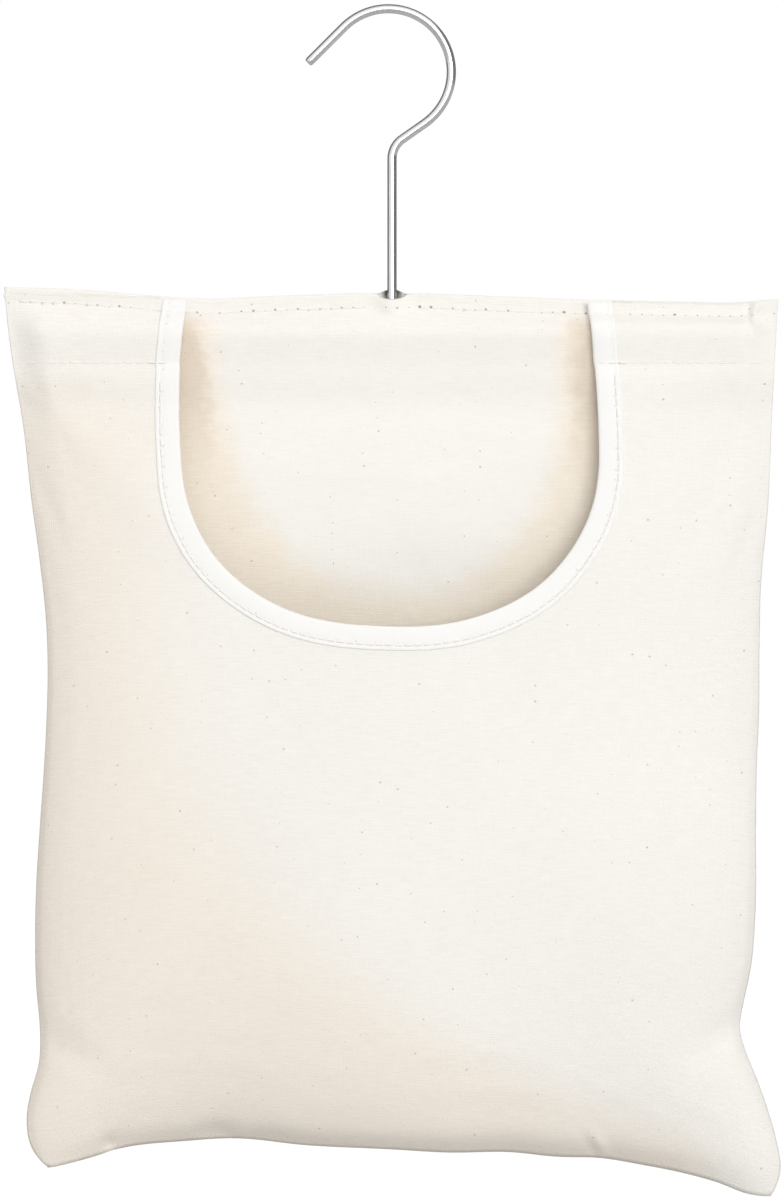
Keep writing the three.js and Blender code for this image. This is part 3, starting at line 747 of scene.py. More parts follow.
@dataclass(frozen=True)
class LiningFinish(CanvasFinish):
    """The inside of the back panel: canvas with painted light in the middle of the mouth and painted shade
    and shadow along its edges.
    """

    name: str = "canvas_inside"
    stitch_rows: tuple[Triple, ...] = ((5.5, 0.8, 0.85), (26.0, 0.5, 0.06))
    # painted light and shade: a pale colour where light falls in by the mouth, a beige one for the shade
    # along the mouth's edges, and a darker one for the front panel's shadow beside the mouth's legs
    painted_light: Colour = (0.965, 0.947, 0.91)
    painted_light_deep: Colour = (0.895, 0.867, 0.815)
    painted_edge_shade: Colour = (0.97, 0.895, 0.785)
    painted_edge_shade_deep: Colour = (0.83, 0.735, 0.605)
    shaded: Colour = (0.81, 0.71, 0.595)
    shaded_deep: Colour = (0.68, 0.575, 0.465)
    middle: float = -1.7
    half_width: float = 68.0
    start_drop: float = 30.0
    reach: float = 89.0
    power: float = 2.2
    edge: Span = (0.87, 1.08)
    leg_shadow_width: float = 72.5
    leg_shadow_edge: Span = (0.92, 1.03)
    leg_shadow_drops: Span = (85.0, 24.0)
    painted_light_drops: Span = (20.0, 55.0)
    painted_edge_shade_drops: Span = (3.0, 16.0)
    wander: Span = (-0.05, 0.05)
    wander_scale: float = 130.0

    def yarn_colours(self, sheet: NodeSheet, place: Socket) -> tuple[Value, Value]:
        """The colours of the yarns, with painted light in the middle of the mouth, painted shade along its
        edges and painted shadow beside its legs.

        Args:
            sheet: The material's sheet of nodes.
            place: The place on the flat cut.

        Returns:
            The colour between the yarns and the colour on top of them.
        """
        along, down, _ = sheet.parts(place)
        wander = sheet.spread(sheet.noise(place, self.wander_scale, flat=True), *self.wander)
        aside = sheet.math("ABSOLUTE", sheet.math("SUBTRACT", along, self.middle * MM))
        below = sheet.math("MAXIMUM", sheet.math("SUBTRACT", -self.start_drop * MM, down), 0.0)
        wide = sheet.math("POWER", sheet.math("DIVIDE", aside, self.half_width * MM), self.power)
        low = sheet.math("POWER", sheet.math("DIVIDE", below, self.reach * MM), self.power)
        far = sheet.math("POWER", sheet.math("ADD", wide, low), 1.0 / self.power)
        painted_light, painted_edge_shade, leg_shadow_fade = (
            sheet.step(down, -first * MM, -last * MM)
            for first, last in (self.painted_light_drops, self.painted_edge_shade_drops, self.leg_shadow_drops)
        )
        # masks of the painted shade along the mouth's edges and of the painted shadow beside the legs
        edge_shade_mask = sheet.math("MULTIPLY", sheet.step(sheet.math("ADD", far, wander), *self.edge), painted_edge_shade)
        leg = sheet.math("ADD", sheet.math("DIVIDE", aside, self.leg_shadow_width * MM), wander)
        leg = sheet.math("MULTIPLY", sheet.step(leg, *self.leg_shadow_edge), leg_shadow_fade)
        leg = sheet.math("MULTIPLY", leg, painted_edge_shade)
        yarns = (
            (self.deep, self.painted_light_deep, self.painted_edge_shade_deep, self.shaded_deep),
            (self.colour, self.painted_light, self.painted_edge_shade, self.shaded),
        )
        # plain canvas at the top, painted light lower down, painted shade along the edges, painted shadow
        # beside the legs
        deep, top = (
            sheet.mix(leg, sheet.mix(edge_shade_mask, sheet.mix(painted_light, plain, pale), edge_shade_colour), shade)
            for plain, pale, edge_shade_colour, shade in yarns
        )
        return deep, top


@dataclass(frozen=True)
class TapeFinish:
    """Bleached cotton tape of a fine weave."""

    effects: Effects
    colour: Colour = (0.945, 0.945, 0.935)
    deep: Colour = (0.87, 0.868, 0.855)
    # painted shade: the tape's needle holes are darkened in colour for the shadow inside them
    hole: Colour = (0.30, 0.28, 0.25)
    hole_depth: float = 0.3
    hole_radius: float = 0.5
    yarn_pitch: float = 0.36
    slub: float = 0.5
    yarn_share: float = 0.5
    yarn_shades: Span = (0.8, 1.2)
    tone_scale: float = 25.0
    tones: Span = (-0.06, 0.06)
    roughness: Span = (0.95, 0.8)
    specular: float = 0.3
    sheen: float = 0.1
    relief: Span = (0.5, 0.1)
    stitch_pitch: float = 3.4

    def material(self, row: float) -> Material:
        """Makes the material.

        Args:
            row: How far from the tape's fold its stitches are, in millimetres.

        Returns:
            The material, which reads the tape's length and width.
        """
        material, sheet, shader = start_material("bleached_tape")
        place = sheet.cut_place()
        weave = sheet.effect(self.effects.weave, Place=place, Pitch=self.yarn_pitch * MM, Slub=self.slub)
        tone = sheet.effect(self.effects.handling, Place=place, Scale=self.tone_scale).outputs["Tone"]
        height = weave.outputs["Height"]
        pale = sheet.math("MULTIPLY", height, sheet.spread(weave.outputs["Shade"], *self.yarn_shades))
        pale = sheet.math("MULTIPLY_ADD", pale, self.yarn_share, 1.0 - self.yarn_share)
        pale = sheet.math("ADD", pale, sheet.spread(tone, *self.tones))
        colour = sheet.mix(pale, self.deep, self.colour)
        along, over, _ = sheet.parts(place)
        off = sheet.math("SUBTRACT", over, row * MM)
        sizes = {"Pitch": self.stitch_pitch * MM, "Radius": self.hole_radius * MM}
        marks = sheet.effect(self.effects.needle_marks, Along=along, Off=off, **sizes).outputs["Mask"]
        # painted shade in the needle holes
        colour = sheet.mix(sheet.math("MULTIPLY", marks, self.hole_depth), colour, self.hole)
        feeds = {
            "Base Color": colour,
            "Roughness": sheet.spread(height, *self.roughness),
            "Specular IOR Level": self.specular,
            "Sheen Weight": self.sheen,
            "Normal": sheet.relief(sheet.math("SUBTRACT", height, marks), *self.relief),
        }
        sheet.dress(shader, feeds)
        return material


@dataclass(frozen=True)
class ThreadFinish:
    """Twisted cotton sewing thread."""

    effects: Effects
    colour: Colour = (0.91, 0.89, 0.84)
    deep: Colour = (0.77, 0.73, 0.66)
    twist: float = 0.55
    ply_shades: Span = (0.35, 0.95)
    tone_scale: float = 60.0
    tones: Span = (-0.08, 0.08)
    roughness: Span = (0.9, 0.7)
    sheen: float = 0.15
    relief: Span = (0.6, 0.08)

    def material(self) -> Material:
        """Makes the material.

        Returns:
            The material, which reads the length and girth of each stitch.
        """
        material, sheet, shader = start_material("sewing_thread")
        place = sheet.cut_place()
        along, round_it, _ = sheet.parts(place)
        turn = sheet.math("ADD", sheet.math("DIVIDE", along, self.twist * MM), round_it)
        ply = sheet.math("ABSOLUTE", sheet.math("SINE", sheet.math("MULTIPLY", turn, math.pi)))
        tone = sheet.effect(self.effects.handling, Place=place, Scale=self.tone_scale).outputs["Tone"]
        pale = sheet.math("ADD", sheet.spread(ply, *self.ply_shades), sheet.spread(tone, *self.tones))
        feeds = {
            "Base Color": sheet.mix(pale, self.deep, self.colour),
            "Roughness": sheet.spread(ply, *self.roughness),
            "Sheen Weight": self.sheen,
            "Normal": sheet.relief(ply, *self.relief),
        }
        sheet.dress(shader, feeds)
        return material


@dataclass(frozen=True)
class WireFinish:
    """Bright nickel plate on drawn steel wire, with fine drawn lines and a little tarnish."""

    effects: Effects
    colour: Colour = (0.80, 0.805, 0.81)
    dull: Colour = (0.64, 0.64, 0.635)
    line_scales: Triple = (2600.0, 2600.0, 120.0)
    line_detail: float = 3.0
    line_roughness: Span = (0.10, 0.22)
    tarnish_scale: float = 70.0
    tarnish_colour: Span = (0.0, 0.35)
    tarnish_roughness: Span = (0.0, 0.06)
    relief: Span = (0.12, 0.05)

    def material(self) -> Material:
        """Makes the material.

        Returns:
            The material, whose lines run up the wire.
        """
        material, sheet, shader = start_material("nickel_plate")
        place = sheet.node("ShaderNodeTexCoord").outputs["Object"]
        stretched = zip(sheet.parts(place), self.line_scales)
        drawn = sheet.vector(*(sheet.math("MULTIPLY", part, scale) for part, scale in stretched))
        lines = sheet.noise(drawn, 1.0, self.line_detail)
        tarnish = sheet.effect(self.effects.handling, Place=place, Scale=self.tarnish_scale).outputs["Tone"]
        colour = sheet.mix(sheet.spread(tarnish, *self.tarnish_colour), self.colour, self.dull)
        dulled = sheet.spread(tarnish, *self.tarnish_roughness)
        rough = sheet.math("ADD", sheet.spread(lines, *self.line_roughness), dulled)
        normal = sheet.relief(lines, *self.relief)
        feeds = {"Base Color": colour, "Roughness": rough, "Metallic": 1.0, "Normal": normal}
        sheet.dress(shader, feeds)
        return material


@dataclass(frozen=True)
class WoodFinish:
    """Plain beech dowel, with grain and short pores along its length."""

    effects: Effects
    colour: Colour = (0.66, 0.49, 0.30)
    deep: Colour = (0.47, 0.31, 0.17)
    stretch: float = 0.06
    grain_scale: float = 700.0
    grain_detail: float = 4.0
    pore_scale: float = 2400.0
    pore_edge: Span = (0.62, 0.75)
    pore_depth: float = 0.4
    tone_scale: float = 30.0
    tone_share: float = 0.25
    roughness: Span = (0.55, 0.75)
    relief: Span = (0.3, 0.1)

    def material(self) -> Material:
        """Makes the material.

        Returns:
            The material, whose grain runs along X.
        """
        material, sheet, shader = start_material("beech_dowel")
        place = sheet.node("ShaderNodeTexCoord").outputs["Object"]
        along, depth, height = sheet.parts(place)
        grained = sheet.vector(sheet.math("MULTIPLY", along, self.stretch), depth, height)
        grain = sheet.noise(grained, self.grain_scale, self.grain_detail)
        pores = sheet.step(sheet.noise(grained, self.pore_scale, 1.0), *self.pore_edge)
        tone = sheet.effect(self.effects.handling, Place=place, Scale=self.tone_scale).outputs["Tone"]
        darker = sheet.math("MULTIPLY_ADD", tone, self.tone_share, grain)
        colour = sheet.mix(darker, self.colour, self.deep)
        colour = sheet.mix(sheet.math("MULTIPLY", pores, self.pore_depth), colour, self.deep)
        normal = sheet.relief(sheet.math("SUBTRACT", grain, pores), *self.relief)
        rough = sheet.spread(grain, *self.roughness)
        sheet.dress(shader, {"Base Color": colour, "Roughness": rough, "Normal": normal})
        return material


@dataclass(frozen=True)
class Finishes:
    """Every material of the bag."""

    canvas: Material
    lining: Material
    tape: Material
    thread: Material
    wire: Material
    wood: Material


@dataclass(frozen=True)
class BagSizes:
    """Sizes of the bag and of the channel along its top, as the CAD frame has them."""

    top: float = -106.0
    cloth: float = 0.6
    clearance: float = 0.3
    width: float = 292.0
    waist_width: float = 283.0
    bottom_width: float = 287.0
    length: float = 336.0
    waist_drop: float = 160.0
    flare_drop: float = 230.0
    ridge: float = 5.5
    channel: float = 20.5
    crest_end: float = 11.7
    hem_below_row: float = 3.0
    rod_radius: float = 6.0
    rod_column: float = 131.6
    slot_half: float = 9.0
    slot_open: float = 6.0
    slot_offset: float = 3.4
    slot_lip: float = 2.6
    slot_notch: float = 2.0
    slot_rise: float = 2.6
    slot_fade: float = 7.0
    front_inset: float = 0.9
    corner_inset: float = 2.9
    corner_span: Span = (-0.55, -0.85)
    hem_layer: float = 1.5
    shoulder_layer: float = 3.0
    shoulder_release: float = 16.0
    pull: float = 5.0
    pull_reach: float = 180.0
    front_bulge: float = 30.0
    back_bulge: float = 22.0
    fullest: float = 0.7
    gape: float = 1.6
    straight: float = 0.32
    round_power: float = 2.6
    round_root: float = 0.6

    @property
    def rod_drop(self) -> float:
        """The drop from the top edge to the middle of the rod."""
        return self.ridge + self.channel / 2

    @property
    def row_drop(self) -> float:
        """The drop to the row of stitches under the rod."""
        return self.ridge + self.channel

    @property
    def hem_drop(self) -> float:
        """The drop to the end of the cloth that is turned over the rod."""
        return self.row_drop + self.hem_below_row

    @property
    def sewn(self) -> float:
        """Half the distance between the middles of two layers that are sewn together."""
        return (self.cloth + self.clearance) / 2

    @property
    def casing_radius(self) -> float:
        """The radius of the cloth round the rod, to its middle."""
        return self.rod_radius + self.clearance + self.cloth / 2


@dataclass(frozen=True)
class Outline:
    """The edges of the bag as it hangs, seen from the front: X and height above the hook's origin."""

    left: tuple[Span, ...] = (
        (-142.6, -132.0), (-141.4, -139.0), (-138.6, -156.2), (-135.6, -183.3), (-132.6, -205.0),
        (-130.0, -228.5), (-129.3, -246.0), (-129.7, -266.0), (-130.7, -285.0), (-132.2, -305.3),
        (-133.7, -327.9), (-134.2, -348.0), (-133.8, -366.0), (-132.3, -384.0), (-132.7, -395.7),
        (-135.6, -405.5), (-137.4, -416.0), (-135.6, -427.3), (-129.5, -434.8),
    )
    right: tuple[Span, ...] = (
        (143.8, -132.0), (142.7, -156.2), (141.2, -188.0), (138.9, -212.0), (138.2, -240.0),
        (138.0, -264.6), (137.1, -283.0), (136.7, -305.0), (136.5, -338.0), (134.8, -359.5),
        (132.0, -373.1), (130.6, -382.1), (133.0, -391.2), (137.1, -401.0), (141.6, -413.8),
        (145.2, -427.3), (146.4, -435.5), (142.8, -445.6),
    )
    bottom: tuple[Span, ...] = (
        (-129.5, -434.8), (-116.0, -431.4), (-100.9, -427.0), (-78.3, -424.7), (-59.0, -423.6),
        (-33.1, -425.8), (-0.8, -427.0), (21.8, -428.3), (44.4, -428.4), (61.4, -430.4), (79.8, -431.2),
        (93.4, -433.5), (110.0, -436.7), (125.0, -440.9), (133.0, -444.2), (142.8, -445.6),
    )
    crest: tuple[Span, ...] = (
        (-146.0, 2.9), (-116.0, 1.8), (-93.4, -0.1), (-73.0, -1.5), (-41.0, -0.4), (0.0, 0.7),
        (42.0, -0.7), (77.0, -2.0), (110.0, -2.7), (131.0, -2.9), (146.0, -1.5),
    )
    top_left: float = -146.1
    top_right: float = 145.2
    bottom_wave: float = 5.0
    bottom_turns: float = 1.6
    bottom_shift: float = -0.05
    bottom_ends: float = 0.5
    side_wave: float = 2.0
    left_turns: float = 1.6
    right_turns: float = 1.9
    right_shift: float = 0.4
    seam_hold: int = 3


@dataclass(frozen=True)
class BagShape:
    """Where the cloth of the bag lies, by its share across the bag and its drop below the top edge."""

    sizes: BagSizes
    outline: Outline

    def half_cut(self, drop: Points) -> Points:
        """Half the width of the flat cut.

        Args:
            drop: The drop below the top edge.

        Returns:
            The half width at each drop.
        """
        s = self.sizes
        drawn = (s.width - s.waist_width) / 2 * ease(s.row_drop, s.waist_drop, drop)
        return s.width / 2 - drawn + (s.bottom_width - s.waist_width) / 2 * ease(s.flare_drop, s.length, drop)

    def opened(self, across: Points) -> Points:
        """How open the channel is: 1 along the rod, 0 at the bag's sides."""
        s = self.sizes
        return 1.0 - ease(s.rod_column, s.width / 2, np.abs(across) * s.width / 2)

    def channel_offset(self, across: Points, x: Points, drop: Points, layer: Points, face: Face) -> Points:
        """The distance from the rod's middle to a layer of the channel's cloth.

        Args:
            across: The share across the bag.
            x: The X of the place.
            drop: The drop below the top edge.
            layer: How far the layer lies outside the channel's own cloth.
            face: The front or the back of the bag.

        Returns:
            The distance: round the rod and straight to the rows, closed at the sides, open round the shank.
        """
        s = self.sizes
        half = s.channel / 2
        away = np.abs(drop - s.rod_drop)
        drawn = s.sewn + layer - face.value * np.where(drop > s.rod_drop, s.pull, 0.0)
        radius = s.casing_radius + layer
        angle = np.arctan2(drawn, half) + np.arccos(radius / np.hypot(half, drawn))
        along, out = radius * np.cos(angle), radius * np.sin(angle)
        ramp = out + (drawn - out) * np.clip((away - along) / (half - along), 0.0, 1.0)
        casing = np.where(away <= along, np.sqrt(np.maximum(radius**2 - away**2, 0.0)), ramp)
        sewn = s.sewn + layer
        round_rod = sewn + (casing - sewn) * self.opened(across)
        beside = np.minimum(np.abs(x) / s.slot_half, 1.0)
        wide = s.slot_lip + (s.slot_offset - s.slot_lip) * ease(0.0, s.ridge, drop)
        slot = wide * np.cos(beside * math.pi / 2) ** 2
        return np.where(drop > s.rod_drop, round_rod, np.maximum(round_rod, slot))

    def pouch_share(self, drop: Points) -> Points:
        """The share of the pouch above a drop, from 0 at the row under the rod to 1 at the bottom."""
        s = self.sizes
        return np.clip((drop - s.row_drop) / (s.length - s.row_drop), 0.0, 1.0)

    def fullness(self, across: Points, drop: Points, face: Face) -> Points:
        """How full the bag is at a place, from 0 on every seam to 1.

        Args:
            across: The share across the bag.
            drop: The drop below the top edge.
            face: The front, which gapes from the channel down, or the back, which hangs straight at first.

        Returns:
            The fullness of that panel.
        """
        s = self.sizes
        share = self.pouch_share(drop)
        before = np.minimum(share / s.fullest, 1.0)
        parting = 1.0 - (1.0 - before) ** s.gape if face is Face.FRONT else ease(s.straight, 1.0, before)
        past = np.maximum((share - s.fullest) / (1.0 - s.fullest), 0.0)
        aside = np.minimum(np.abs(across), 1.0)
        down, over = (np.maximum(1.0 - part**s.round_power, 0.0) ** s.round_root for part in (past, aside))
        return parting * down * over

    def top_place(self, across: Points, drop: Points) -> tuple[Points, Points]:
        """Where the cloth above the row under the rod lies, seen from the front.

        Args:
            across: The share across the bag.
            drop: The drop below the top edge.

        Returns:
            X and height.
        """
        o, s = self.outline, self.sizes
        share = np.clip(drop / s.row_drop, 0.0, 1.0)
        left = o.top_left + (o.left[0][0] - o.top_left) * share
        right = o.top_right + (o.right[0][0] - o.top_right) * share
        x = np.where(across < 0, -across * left, across * right)
        places, lifts = np.array(o.crest).T
        fade = np.clip((s.crest_end - drop) / (s.crest_end - s.ridge), 0.0, 1.0)
        return x, s.top - drop + spline(places, lifts, x)[..., 0] * fade

    def pouch_place(self, across: Points, drop: Points) -> tuple[Points, Points]:
        """Where the cloth under the row lies, spread evenly between the edges of the outline.

        Args:
            across: The share across the bag.
            drop: The drop below the top edge.

        Returns:
            X and height.
        """
        o = self.outline
        p = ((across + 1.0) / 2.0)[..., None]
        share = self.pouch_share(drop)
        v = share[..., None]
        corners = [np.array(c) for c in (o.left[0], o.right[0], o.left[-1], o.right[-1])]
        top = corners[0] + (corners[1] - corners[0]) * p
        bottom = curve_through(np.array(o.bottom), p[..., 0])
        left = curve_through(np.array(o.left), share)
        right = curve_through(np.array(o.right), share)
        flat = (1 - p) * ((1 - v) * corners[0] + v * corners[2]) + p * ((1 - v) * corners[1] + v * corners[3])
        place = (1 - v) * top + v * bottom + (1 - p) * left + p * right - flat
        return place[..., 0], place[..., 1]

    def seam_depth(self, across: Points, drop: Points) -> Points:
        """How far the seams wander out of the plane, which takes up the slack of the cut.

        Args:
            across: The share across the bag.
            drop: The drop below the top edge.

        Returns:
            The move back at each place, strongest on the seams.
        """
        o = self.outline
        p = (across + 1.0) / 2.0
        v = self.pouch_share(drop)
        swing = np.sin(2 * math.pi * (o.bottom_turns * p + o.bottom_shift))
        bottom = o.bottom_wave * swing * np.sin(math.pi * p) ** o.bottom_ends
        left = o.side_wave * np.sin(2 * math.pi * o.left_turns * v) * np.sin(math.pi * v)
        right = -o.side_wave * np.sin(2 * math.pi * o.right_turns * v + o.right_shift) * np.sin(math.pi * v)
        return v**o.seam_hold * bottom + (1 - p) ** o.seam_hold * left + p**o.seam_hold * right

    def release(self, drop: Points) -> Points:
        """How far layers that are sewn together still hold below their row: 1 on the hem, 0 under it."""
        s = self.sizes
        return 1.0 - ease(s.hem_drop, s.hem_drop + s.shoulder_release, drop)

    def layer_at(self, drop: Points) -> Points:
        """How far the front panel lies outside the channel's own cloth."""
        return self.sizes.shoulder_layer * self.release(drop)

    def inset_at(self, across: Points) -> Points:
        """How far the front panel's top edge lies below the bag's, most at the left corner."""
        s = self.sizes
        return s.front_inset + (s.corner_inset - s.front_inset) * ease(*s.corner_span, across)

    def point(
        self, across: Points, drop: Points, face: Face, layer: Points = 0.0, inset: Points = 0.0
    ) -> Points:
        """A point of the cloth before it settles.

        Args:
            across: The share across the bag, from -1 on the left to 1 on the right.
            drop: The drop below the top edge on the flat cut.
            face: The front or the back of the bag.
            layer: How far the cloth lies outside the channel's own cloth.
            inset: How far its own top edge lies below the bag's.

        Returns:
            Points, one for each pair of across and drop.
        """
        s = self.sizes
        across, drop = np.broadcast_arrays(np.asarray(across, float), np.asarray(drop, float))
        top_x, top_z = self.top_place(across, drop)
        low_x, low_z = self.pouch_place(across, drop)
        above = drop <= s.row_drop
        x, z = np.where(above, top_x, low_x), np.where(above, top_z, low_z)
        z = z - inset * (1.0 - ease(0.0, s.ridge, drop))
        bulge = s.front_bulge if face is Face.FRONT else s.back_bulge
        pulled = s.pull * self.opened(across) * (1.0 - ease(s.row_drop, s.row_drop + s.pull_reach, drop))
        hung = s.sewn + layer - face.value * pulled
        depth = np.where(above, self.channel_offset(across, x, drop, layer, face), hung)
        depth = depth + bulge * self.fullness(across, drop, face)
        return np.stack([x, face.value * depth + self.seam_depth(across, drop), z], axis=-1)

    def back_point(self, across: Points, drop: Points) -> Points:
        """A point of the back panel, which passes in front of the rod and then down behind the pouch.

        Args:
            across: The share across the bag.
            drop: The drop below the top edge.

        Returns:
            Points, one for each pair of across and drop.
        """
        s = self.sizes
        behind = self.point(across, drop, Face.BACK)
        behind[..., 1] -= 2 * s.sewn * self.release(drop)
        before = self.point(across, drop, Face.FRONT)
        return np.where((drop <= s.row_drop)[..., None], before, behind)


@dataclass(frozen=True)
class MouthCut:
    """The U-shaped mouth on the flat cut of the front panel, at its cut edge."""

    middle: float = -1.7
    lean: float = -1.7
    top_half: float = 76.2
    half: float = 82.2
    depth: float = 129.8
    rounded: float = 71.0
    left_power: float = 2.5
    right_power: float = 2.22
    steps: int = 400

    def chain(self) -> Points:
        """The mouth's edge from its top left round to its top right.

        Returns:
            X and drop of each point.
        """
        straight = self.depth - self.rounded
        drops = np.linspace(0.0, straight, self.steps)
        widening = np.sin(drops / straight * math.pi / 2)
        side = np.stack([self.top_half + (self.half - self.top_half) * widening, drops], axis=1)
        angle = np.linspace(0.0, math.pi / 2, self.steps)[1:]
        halves = []
        for power in (self.left_power, self.right_power):
            round_x = self.half * np.maximum(np.cos(angle), 0.0) ** (2 / power)
            round_drop = straight + self.rounded * np.sin(angle) ** (2 / power)
            halves.append(np.concatenate([side, np.stack([round_x, round_drop], axis=1)]))
        whole = np.concatenate([halves[0] * (-1.0, 1.0), halves[1][::-1][1:]])
        whole[:, 0] += self.middle + self.lean * ease(0.0, straight, whole[:, 1])
        return whole

    def legs(self, values: Points, drop: Points | float) -> tuple[Points, Points]:
        """Reads values that belong to the points of the edge at a drop.

        Args:
            values: One value for each point of the edge.
            drop: The drop below the top edge.

        Returns:
            The values on the left leg and on the right one.
        """
        drops = self.chain()[:, 1]
        low = int(np.argmax(drops))
        left = np.interp(drop, drops[: low + 1], values[: low + 1])
        return left, np.interp(drop, drops[low:][::-1], values[low:][::-1])

    def beside(self, x: Points, drop: float) -> Points:
        """How far places at a drop lie outside the mouth's cut edge."""
        left, right = self.legs(self.chain()[:, 0], drop)
        return np.maximum(left - x, x - right)


@dataclass
class Cut:
    """A panel's flat cut and its settled points, by row and column."""

    flat: Points
    points: Points
    sewn: Points


@dataclass(frozen=True)
class Crease:
    """A soft hollow or ridge in the front panel, seen from the front."""

    x: float
    height: float
    length: float
    width: float
    slope: float
    depth: float

    def push(self, points: Points) -> Points:
        """How far it moves points back.

        Args:
            points: The points of the panel.

        Returns:
            The move of each point.
        """
        turn = math.radians(self.slope)
        over, up = points[..., 0] - self.x, points[..., 2] - self.height
        along = (over * math.cos(turn) + up * math.sin(turn)) / self.length
        aside = (up * math.cos(turn) - over * math.sin(turn)) / self.width
        return self.depth * np.exp(-(along**2) - aside**2)


CREASES = (
    Crease(-106.0, -424.6, 3.2, 1.7, 35.0, 3.8),
    Crease(-66.0, -419.9, 6.5, 2.1, 4.0, 3.4),
    Crease(-57.0, -421.6, 4.0, 1.8, 35.0, -1.5),
    Crease(-44.0, -424.0, 8.0, 3.0, -5.0, 1.5),
    Crease(78.8, -426.4, 5.0, 1.3, -54.0, -2.2),
    Crease(75.0, -426.8, 5.0, 1.6, -54.0, 2.0),
    Crease(121.0, -386.0, 16.0, 5.0, 35.0, 2.2),
    Crease(-122.0, -389.0, 14.0, 5.0, -30.0, 1.8),
    Crease(136.8, -111.0, 3.8, 1.25, 68.0, -2.4),
    Crease(136.6, -116.4, 3.8, 1.25, 112.0, -2.1),
    Crease(134.2, -113.8, 5.0, 0.95, 90.0, 1.1),
)


CLOTH_SETTINGS = {
    "quality": 8,
    "mass": 0.05,
    "tension_stiffness": 40.0,
    "compression_stiffness": 40.0,
    "shear_stiffness": 15.0,
    "bending_stiffness": 3.0,
    "tension_damping": 10.0,
    "compression_damping": 10.0,
    "shear_damping": 10.0,
    "bending_damping": 1.0,
    "air_damping": 5.0,
    "vertex_group_mass": "sewn",
    "use_pressure": True,
    "uniform_pressure_force": 6.0,
    "vertex_group_pressure": "filled",
}


